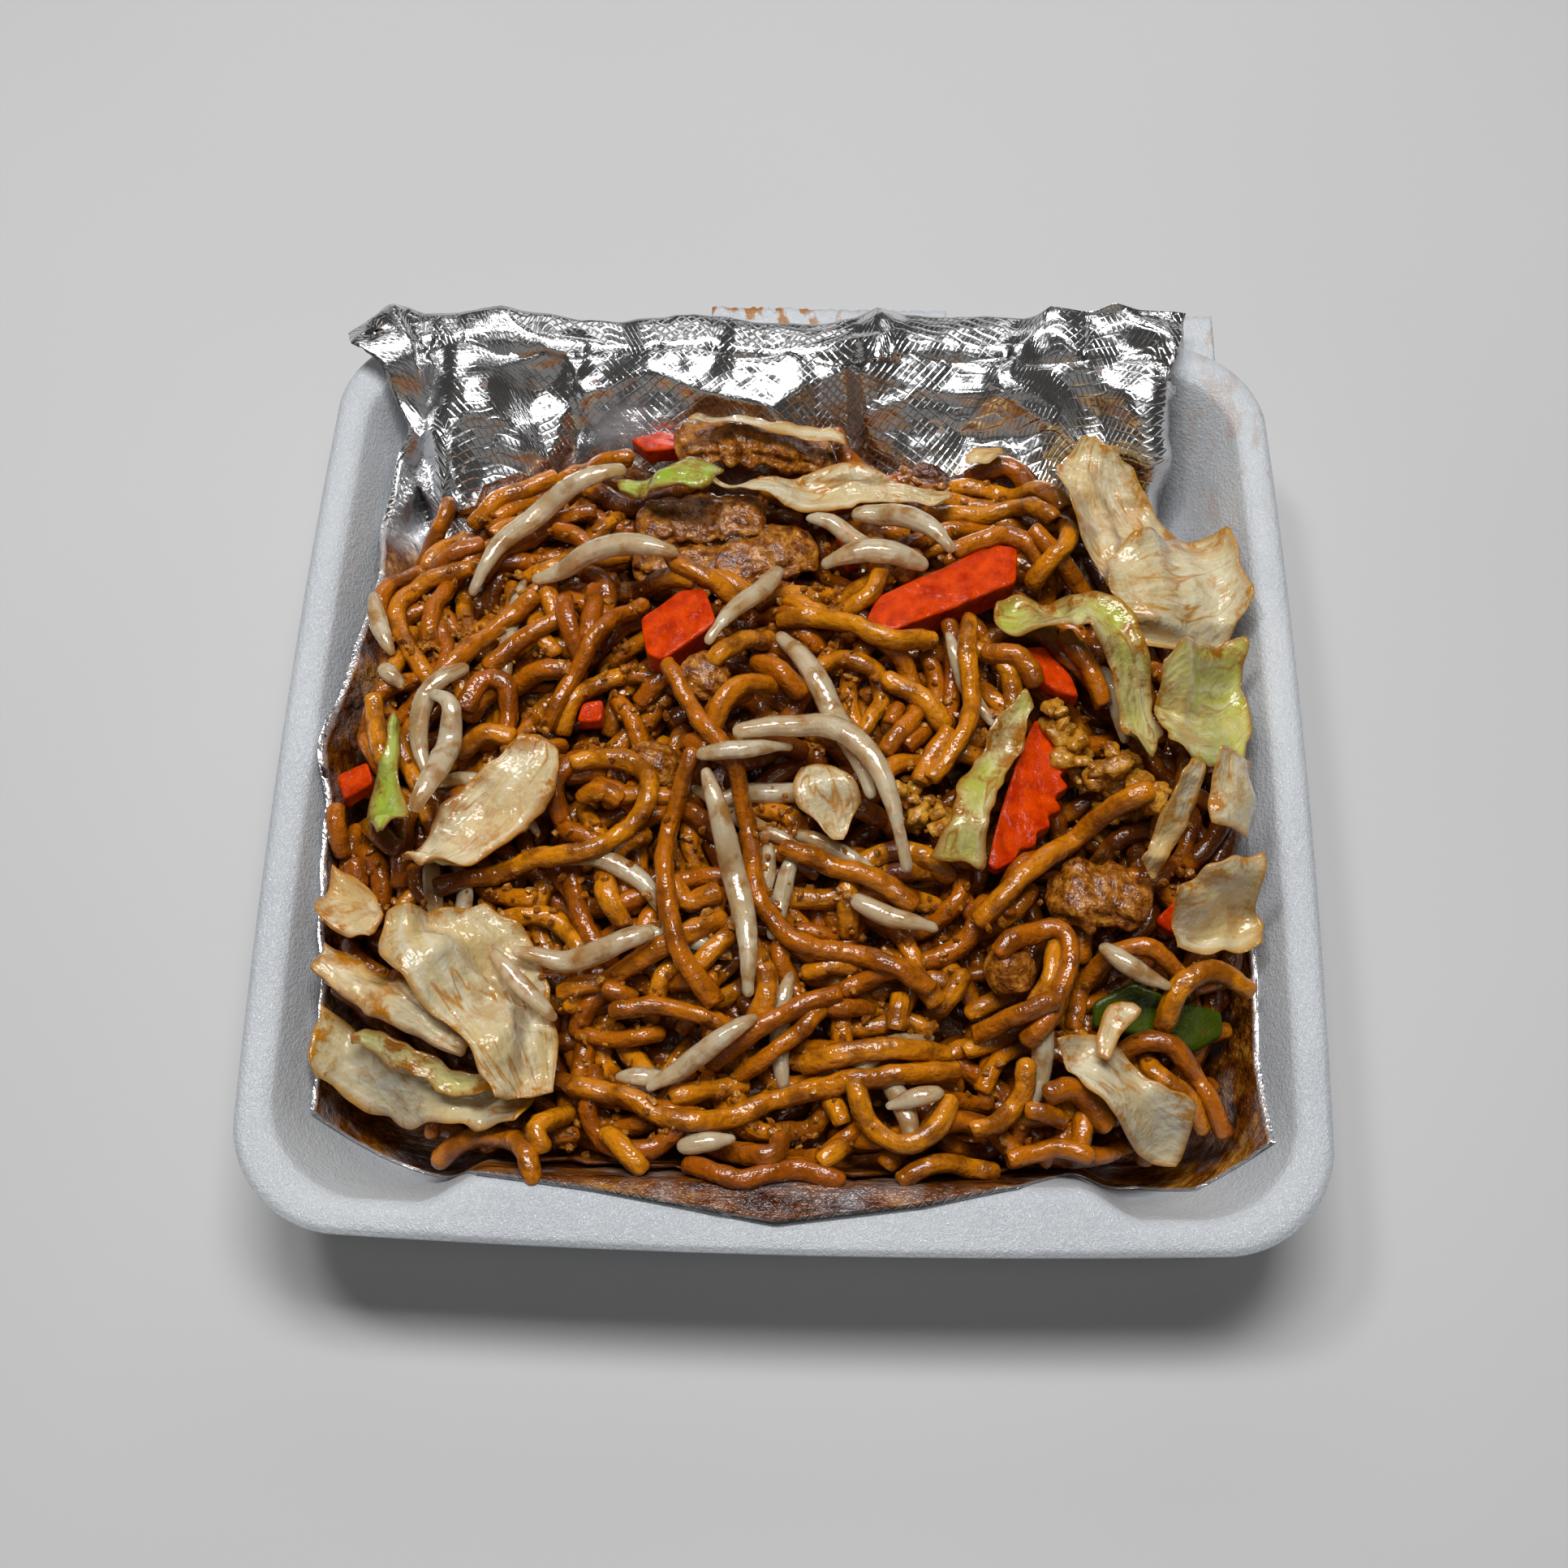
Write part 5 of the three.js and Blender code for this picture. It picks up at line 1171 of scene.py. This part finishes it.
for seed, (name, (finish, right, left, shape)) in enumerate(LEAVES.items()):
    low, high, inward, place = draped_leaf(right, left, seed=seed * 7, **shape)
    piece = make_piece(name + "_leaf", *closed_sheet(low, high), finish)
    place = place.reshape(-1, 3) * MM
    mark_points(piece.data, "leaf_place", np.vstack([place, place]))
    mark_points(piece.data, "inward", np.tile(np.clip(inward / 12, 0, 1).ravel(), 2))
    mark_points(piece.data, "soak", np.full(2 * inward.size, SOAKED_MORE.get(name, LEAF_SOAK)))
    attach(piece, "root")
    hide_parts(name)

# ---- Bean sprouts -------------------------------------------------------------------------
# Mung bean sprouts, cooked limp: milky, glassy stems that are thick in the middle and thin out
# at both ends. They are scattered over the heap last.

SPROUTS = [
    (2.8, [(-43, 72), (-58, 66), (-71, 55), (-79, 40)]), (2.8, [(13, 60), (22, 59), (31, 53), (37, 46)]),
    (2.3, [(2, 57), (9, 55), (14, 50), (20, 47)]), (3.0, [(6, 43), (18, 45), (31, 43)]),
    (2.4, [(-4, 42), (-8, 33), (-14, 25), (-20, 15)]), (2.9, [(-63, 39), (-46, 43), (-28, 39)]),
    (2.8, [(-4, 23), (4, 11), (11, -4), (18, -22)]),
    (2.7, [(-13, -8), (2, -6), (12, -9), (20, -19), (26, -38)]),
    (2.8, [(-19, -17), (-14, -32), (-9, -50), (-8, -65)]),
    (2.9, [(-83, 5), (-78, 1), (-79, -14), (-83, -27)]),
    (2.7, [(-60, -55), (-45, -57), (-29, -52)]), (2.4, [(-29, -85), (-19, -79), (-6, -70)]),
    (2.1, [(22, -88), (34, -85)]), (2.3, [(69, -50), (75, -55), (84, -59)]),
    (2.4, [(14, -42), (22, -46), (33, -48)]),
]
LOOSE_SPROUTS = [
    (2.3, [(-103, 40), (-100, 30), (-96, 22)]), (2.2, [(-98, 18), (-92, 12)]),
    (2.4, [(-76, 14), (-84, 7), (-86, -3), (-83, -14)]), (2.1, [(-21, -13), (-10, -12), (0, -9)]),
    (2.3, [(-22, -97), (-10, -95)]), (2.2, [(-36, -82), (-24, -82)]),
    (2.2, [(-65, -54), (-58, -62), (-50, -69)]),
]
SPROUT_SIDES = 12
SPROUT_STEP = 1.2
SPROUT_STIFFNESS = 0.02
SPROUT_SINK = 0.3
SPROUT_DIVE = 1.5
SPROUT_FLATNESS = 0.85
SPROUT_DENTS = 0.5
BOXINESS = -0.07  # how far a strand's section is from a circle
DENTS_PER_METRE = 330.0
BURIED_SHADE_DEPTH = 10  # how deep under the top a strand is fully in the sauce and fully darkened as painted shade
STEM_SHADE, STEM_MILKY, STEM_STAIN = (0.78, 0.55, 0.27), (0.93, 0.79, 0.55), (0.52, 0.23, 0.025)


def start_tree(name, inputs):
    """A Geometry Nodes tree with these named inputs, and the sockets that give them."""
    tree = bpy.data.node_groups.new(name, "GeometryNodeTree")
    for label, kind in inputs.items():
        tree.interface.new_socket(label, in_out="INPUT", socket_type="NodeSocket" + kind)
    tree.interface.new_socket("Grown", in_out="OUTPUT", socket_type="NodeSocketGeometry")
    return tree, add_node(tree, "NodeGroupInput").outputs


def finish_tree(tree, geometry, material):
    """Makes the tree's copies real, gives them their material and hands them out."""
    real = add_node(tree, "GeometryNodeRealizeInstances", {"Geometry": geometry})
    finished = add_node(tree, "GeometryNodeSetMaterial", {"Geometry": real.outputs[0], "Material": material})
    add_node(tree, "NodeGroupOutput", {"Grown": finished.outputs[0]})


def grow(name, mesh, tree, values, material):
    """Runs a tree on a mesh and keeps the result as a plain mesh of its own."""
    source = bpy.data.objects.new(name + "_source", mesh)
    bpy.context.scene.collection.objects.link(source)
    modifier = source.modifiers.new("grow", "NODES")
    modifier.node_group = tree
    socket = {item.name: item.identifier for item in tree.interface.items_tree}
    for label, value in values.items():
        modifier[socket[label]] = value
    graph = bpy.context.evaluated_depsgraph_get()
    evaluated = source.evaluated_get(graph)
    grown = bpy.data.meshes.new_from_object(evaluated, preserve_all_data_layers=True, depsgraph=graph)
    bpy.data.objects.remove(source)
    grown.name = name
    grown.materials.clear()
    grown.materials.append(material)
    piece = bpy.data.objects.new(name, grown)
    bpy.context.scene.collection.objects.link(piece)
    return piece


def scaled_by(tree, vector, factor):
    inputs = {0: vector, "Scale": factor}
    return add_node(tree, "ShaderNodeVectorMath", inputs, operation="SCALE").outputs[0]


def strands_tree(name, material):
    """Geometry nodes that turn lines with a thickness at each point into round strands."""
    tree, given = start_tree(name, {
        "Lines": "Geometry", "Sides": "Int", "Height to width": "Float", "Dents": "Float",
    })
    thickness, twist = (
        add_node(tree, "GeometryNodeInputNamedAttribute", {"Name": key}, data_type="FLOAT").outputs[0]
        for key in ("thickness", "twist")
    )
    curve = add_node(tree, "GeometryNodeMeshToCurve", {"Mesh": given["Lines"]})
    upright = add_node(tree, "GeometryNodeSetCurveNormal", {"Curve": curve.outputs[0]}, mode="Z_UP")
    turned = add_node(tree, "GeometryNodeSetCurveTilt", {"Curve": upright.outputs[0], "Tilt": twist})
    circle = add_node(tree, "GeometryNodeCurvePrimitiveCircle", {"Resolution": given["Sides"], "Radius": 1.0})
    where = add_node(tree, "GeometryNodeInputPosition").outputs[0]
    kept = add_node(tree, "GeometryNodeStoreNamedAttribute", {
        "Geometry": circle.outputs[0], "Name": "section", "Value": where,
    }, data_type="FLOAT_VECTOR", domain="POINT")
    axes = add_node(tree, "ShaderNodeSeparateXYZ", {0: where})
    fourth = [calculate(tree, "POWER", axes.outputs[k], 4.0) for k in (0, 1)]
    squared = calculate(tree, "POWER", calculate(tree, "ADD", *fourth), BOXINESS)
    boxy = {"Geometry": kept.outputs[0], "Position": scaled_by(tree, where, squared)}
    shaped = add_node(tree, "GeometryNodeSetPosition", boxy)
    squash = add_node(tree, "ShaderNodeCombineXYZ", {0: 1.0, 1: given["Height to width"], 2: 1.0})
    oval = add_node(tree, "GeometryNodeTransform", {
        "Geometry": shaped.outputs[0], "Scale": squash.outputs[0],
    })
    swept = add_node(tree, "GeometryNodeCurveToMesh", {
        "Curve": turned.outputs[0], "Profile Curve": oval.outputs[0], "Scale": thickness, "Fill Caps": True,
    })
    dent_noise = add_node(tree, "ShaderNodeTexNoise", {"Scale": DENTS_PER_METRE, "Detail": 1.0})
    centred = calculate(tree, "SUBTRACT", dent_noise.outputs[0], 0.5)
    depth = calculate(tree, "MULTIPLY", centred, given["Dents"])
    push = scaled_by(tree, add_node(tree, "GeometryNodeInputNormal").outputs[0], depth)
    dented = add_node(tree, "GeometryNodeSetPosition", {"Geometry": swept.outputs[0], "Offset": push})
    smooth = add_node(tree, "GeometryNodeSetShadeSmooth", {
        "Geometry": dented.outputs[0], "Shade Smooth": True,
    })
    finish_tree(tree, smooth.outputs[0], material)
    return tree


def make_strands(name, laid, material, sides, flatness, dents, twisted=0.0):
    """One piece of all these strands, each (centre line, distance along, radius, tone)."""
    points = np.vstack([line for line, _, _, _ in laid])
    links, start = [], 0
    for line, _, _, _ in laid:
        links += [(k, k + 1) for k in range(start, start + len(line) - 1)]
        start += len(line)
    mesh = bpy.data.meshes.new(name + "_lines")
    mesh.from_pydata((points * MM).tolist(), links, [])
    thickness = np.concatenate([radius for _, _, radius, _ in laid])
    # How far under the heap's top each point lies, for sauce and for painted shade deep in the heap.
    buried_shade = (pile_at(points[:, 0], points[:, 1]) - points[:, 2] - thickness) / BURIED_SHADE_DEPTH
    mark_points(mesh, "thickness", thickness * MM)
    mark_points(mesh, "run_mm", np.concatenate([run for _, run, _, _ in laid]))
    mark_points(mesh, "tone", np.concatenate([np.full(len(run), tone) for _, run, _, tone in laid]))
    mark_points(mesh, "twist", np.concatenate([twisted * (9 * tone + run / 22) for _, run, _, tone in laid]))
    mark_points(mesh, "buried_shade", np.clip(buried_shade, 0, 1))
    values = {"Sides": sides, "Height to width": flatness, "Dents": dents * MM}
    return grow(name, mesh, strands_tree(name + "_sweep", material), values, material)


def strand_coordinate(tree, down):
    """A coordinate that runs round a strand's section and, by this much, down its length."""
    section = add_node(tree, "ShaderNodeSeparateXYZ", {0: attribute(tree, "section", "Vector")})
    parts = {0: section.outputs[0], 1: section.outputs[1], 2: down}
    return add_node(tree, "ShaderNodeCombineXYZ", parts).outputs[0]


sprout_finish, tree, shader = start_material(
    "cooked_bean_sprout", (0.80, 0.66, 0.44), 0.25, Subsurface_Weight=0.5, Subsurface_Scale=2 * MM,
    Transmission_Weight=0.44, IOR=1.36, Coat_Weight=1.0, Coat_Roughness=0.03, Coat_IOR=1.6)
shader.inputs["Subsurface Radius"].default_value = (1, 0.85, 0.6)
run_down = calculate(tree, "MULTIPLY", attribute(tree, "run_mm"), 0.07)
fibre = noise(tree, 0.0016, 3, coordinate=strand_coordinate(tree, run_down))
stem = ramp(tree, noise(tree, 0.12, 3), (0.35, STEM_SHADE), (0.6, STEM_MILKY))
stained = ramp(tree, noise(tree, 0.2, 4), (0.50, 0.0), (0.64, 0.8))
tree.links.new(mix(tree, stained, stem, STEM_STAIN), shader.inputs["Base Color"])
bump(tree, shader, (fibre, 0.25), (noise(tree, 0.35, 3), 0.4))


def sprout_radius(run, wide, dice):
    """Radius along a sprout: thickest about its middle, and round at both ends."""
    share = np.clip(run / run[-1] * 1.05 + dice.uniform(-0.1, 0.1), 0.02, 0.98)
    body = wide * (0.42 + 0.58 * np.sin(math.pi * share) ** 0.7)
    ends = np.minimum(run, run[-1] - run)
    return body * np.sqrt(1 - np.maximum(0, 1 - (ends + 0.2) / 1.6) ** 2)


def lay_sprout(wide, points):
    high = wide * SPROUT_FLATNESS
    line, run = lay_strand(points, wide, high, SPROUT_STIFFNESS, SPROUT_SINK, SPROUT_DIVE, SPROUT_STEP)
    return line, run, sprout_radius(run, wide, pick), pick.random()


def make_sprouts(name, laid):
    piece = make_strands(name, laid, sprout_finish, SPROUT_SIDES, SPROUT_FLATNESS, SPROUT_DENTS)
    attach(piece, "root")
    return piece


loose = [lay_sprout(wide, points) for wide, points in LOOSE_SPROUTS]
loose += [(line, run, sprout_radius(run, wide, pick), pick.random()) for line, run, wide in stirred_in]
for n, (wide, points) in enumerate(SPROUTS, 1):
    piece = make_sprouts(f"sprout_{n}", [lay_sprout(wide, points)])
    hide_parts(f"bean_sprout_{n}")
piece = make_sprouts("loose_sprouts", loose)
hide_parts("noodles")

# ---- The noodles' own bodies --------------------------------------------------------------
# Every line laid above becomes a noodle: amber where the oil shines on it, and dark reddish brown low down
# and deep in the heap, partly for the sauce gathered there and partly as painted shade.

AMBER = [(0.40, 0.092, 0.0008), (0.56, 0.160, 0.0015), (0.74, 0.265, 0.004)]
# The soaked brown is sauce colour and painted shade at once.
AMBER_STREAK, AMBER_BLOT, SAUCE_AND_SHADE_BROWN = (0.30, 0.074, 0.0008), (0.20, 0.046, 0.0005), (0.15, 0.031, 0.0006)
NOODLE_LAYERS = {"deep": 8, "middle": 12, "top": 16}  # sides of each noodle, layer by layer
NOODLE_FLATNESS = 0.92
NOODLE_DENTS = 1.1
NOODLE_TWIST = 0.4

noodle_finish, tree, shader = start_material(
    "fried_noodle", (0.52, 0.17, 0.006), 0.28, Subsurface_Weight=0.15, Subsurface_Scale=1.5 * MM,
    Specular_IOR_Level=0.1, Coat_Weight=0.9, Coat_Roughness=0.03, Coat_IOR=1.6)
shader.inputs["Subsurface Radius"].default_value = (1.0, 0.4, 0.1)
shader.inputs["Specular Tint"].default_value = (1.0, 0.75, 0.4, 1)
run_down = calculate(tree, "MULTIPLY", attribute(tree, "run_mm"), 0.10)
own_start = calculate(tree, "MULTIPLY", attribute(tree, "tone"), 40.0)
noodle_place = strand_coordinate(tree, calculate(tree, "ADD", run_down, own_start))
streaks = noise(tree, 0.0022, 5, coordinate=noodle_place)
amber = ramp(tree, attribute(tree, "tone"), *zip((0.0, 0.5, 1.0), AMBER))
streaked = mix(tree, ramp(tree, streaks, (0.50, 0.0), (0.70, 0.65)), amber, AMBER_STREAK)
blotted = mix(tree, ramp(tree, noise(tree, 0.13, 5), (0.48, 0.0), (0.62, 0.8)), streaked, AMBER_BLOT)
# Lower sides of noodles and noodles deep in the heap are painted darker: painted shade, partly also sauce
# pooled there.
normal = add_node(tree, "ShaderNodeNewGeometry").outputs["Normal"]
facing = add_node(tree, "ShaderNodeSeparateXYZ", {0: normal})
shaded_low_side = add_node(tree, "ShaderNodeMapRange", {
    "Value": facing.outputs[2], "From Min": 0.75, "From Max": -0.2, "To Min": 0.0, "To Max": 0.85,
})
soaked = calculate(tree, "MAXIMUM", attribute(tree, "buried_shade"), shaded_low_side.outputs[0], clamp=True)
tree.links.new(mix(tree, soaked, blotted, SAUCE_AND_SHADE_BROWN), shader.inputs["Base Color"])
bump(tree, shader, (streaks, 0.25), (noise(tree, 0.30, 3), 0.8), (noise(tree, 0.75, 2), 0.40), film=0.6)

for layer, sides in NOODLE_LAYERS.items():
    piece = make_strands(layer + "_noodles", noodles_laid[layer], noodle_finish, sides, NOODLE_FLATNESS,
                         NOODLE_DENTS, NOODLE_TWIST)
    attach(piece, "root")
    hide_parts("noodles")

# ---- Crumbs -------------------------------------------------------------------------------
# Browned bits of egg, garlic and meat that stick to the noodles all over the heap. They are one
# small lump, scattered by geometry nodes in many sizes, and lie where the heap is lowest.

CRUMB_COUNT = 1100
CRUMB_SEED = 77
CRUMB_SHARE = 0.92  # how near the heap's edge a crumb may lie
CRUMB_HOLLOW = (-4, 5)  # depths under the heap's top between which crumbs become certain
CRUMB_SIZES = (0.5, 1.6)
CRUMB_LUMPINESS = 1.4
CRUMB_TURN = (6.28, 6.28, 6.28)
CRUMB_STRETCH = ((0.5, 0.6, 0.4), (1.3, 1.0, 0.8))

crumb_finish = savoury("browned_crumb", (0.22, 0.055, 0.002), (0.40, 0.13, 0.008), (0.58, 0.27, 0.04),
                       0.5, 0.4, 0.35)
dice = np.random.default_rng(CRUMB_SEED)
spots = []
while len(spots) < CRUMB_COUNT:
    angle, share = dice.uniform(0, 2 * math.pi), math.sqrt(dice.random())
    x, y = heap_reach(angle) * share * np.array([math.cos(angle), math.sin(angle)]) * CRUMB_SHARE
    hollow = heap_top(x, y) - pile_at(x, y)
    if dice.random() < smoothstep(*CRUMB_HOLLOW, hollow) and not covered[to_cell(y), to_cell(x)]:
        spots.append((x, y, pile_at(x, y) + 0.2))


def crumbs_tree(material):
    """Geometry nodes that put a lump of random size, stretch and turn on each point."""
    tree, given = start_tree("scattered_crumbs", {
        "Spots": "Geometry", "Smallest": "Float", "Largest": "Float",
    })
    ball = add_node(tree, "GeometryNodeMeshUVSphere", {"Radius": 1.0, "Segments": 7, "Rings": 5})
    lumpy = add_node(tree, "ShaderNodeTexNoise", {"Scale": 1.3, "Detail": 1.0}, noise_dimensions="3D")
    centred = add_node(tree, "ShaderNodeVectorMath", {0: lumpy.outputs["Color"], 1: (0.5, 0.5, 0.5)},
                       operation="SUBTRACT")
    push = {"Geometry": ball.outputs[0], "Offset": scaled_by(tree, centred.outputs[0], CRUMB_LUMPINESS)}
    lump = add_node(tree, "GeometryNodeSetPosition", push)
    size = add_node(tree, "FunctionNodeRandomValue", {
        2: given["Smallest"], 3: given["Largest"], "Seed": 5,
    }, data_type="FLOAT")
    turn = add_node(tree, "FunctionNodeRandomValue", {1: CRUMB_TURN, "Seed": 6}, data_type="FLOAT_VECTOR")
    stretch = add_node(tree, "FunctionNodeRandomValue", {
        0: CRUMB_STRETCH[0], 1: CRUMB_STRETCH[1], "Seed": 9,
    }, data_type="FLOAT_VECTOR")
    placed = add_node(tree, "GeometryNodeInstanceOnPoints", {
        "Points": given["Spots"], "Instance": lump.outputs[0], "Rotation": turn.outputs[0],
        "Scale": scaled_by(tree, stretch.outputs[0], size.outputs[1]),
    })
    finish_tree(tree, placed.outputs[0], material)
    return tree


crumb_spots = bpy.data.meshes.new("crumb_spots")
crumb_spots.from_pydata((np.array(spots) * MM).tolist(), [], [])
size_range = {"Smallest": CRUMB_SIZES[0] * MM, "Largest": CRUMB_SIZES[1] * MM}
crumbs = grow("crumbs", crumb_spots, crumbs_tree(crumb_finish), size_range, crumb_finish)
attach(crumbs, "root")
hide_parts("noodles")

# ---- Floor and light ----------------------------------------------------------------------
# A plain pale table top under a wide soft light from behind and above, with weaker light all
# round, so the shadow falls softly in front of the tray.

FLOOR_HALF = 3000
TABLE_DULL, TABLE_PALE = (0.59, 0.59, 0.595), (0.615, 0.615, 0.62)

table_top, tree, shader = start_material("table_top", (0.60, 0.60, 0.605), 0.6)
uneven = ramp(tree, noise(tree, 0.004, 2), (0.3, TABLE_DULL), (0.7, TABLE_PALE))
tree.links.new(uneven, shader.inputs["Base Color"])
floor_corners = [(x * FLOOR_HALF, y * FLOOR_HALF, 0) for x, y in ((-1, -1), (1, -1), (1, 1), (-1, 1))]
floor = make_piece("floor", floor_corners, [(0, 1, 2, 3)], table_top)


def add_light(name, place, aim, width, height, watts):
    """A rectangular lamp at a place, turned to an aim; all lengths are in metres."""
    light = bpy.data.lights.new(name, "AREA")
    light.shape, light.size, light.size_y, light.energy = "RECTANGLE", width, height, watts
    lamp = bpy.data.objects.new(name, light)
    bpy.context.scene.collection.objects.link(lamp)
    lamp.location = place
    lamp.rotation_euler = (Vector(aim) - Vector(place)).to_track_quat("-Z", "Y").to_euler()


add_light("window_above", (0.04, 0.32, 1.40), (0, 0, 0), 0.66, 0.40, 12.8)
add_light("lamp_left", (-0.48, 0.34, 1.3), (0, 0, 0), 0.22, 0.20, 4)
add_light("softbox_front", (0.1, -0.45, 1.42), (0, 0, 0), 0.9, 0.28, 1.1)
add_light("panel_front", (0.0, -1.6, 0.85), (0, 0, 0.05), 2.2, 1.2, 1.2)
add_light("panel_back", (0.0, 1.5, 1.15), (0, 0, 0.05), 1.7, 0.55, 3.4)
world = bpy.data.worlds.new("room")
world.use_nodes = True
world.node_tree.nodes["Background"].inputs["Color"].default_value = (1.0, 0.95, 0.90, 1)
world.node_tree.nodes["Background"].inputs["Strength"].default_value = 0.045
bpy.context.scene.world = world
bpy.context.scene.view_settings.view_transform = "Standard"
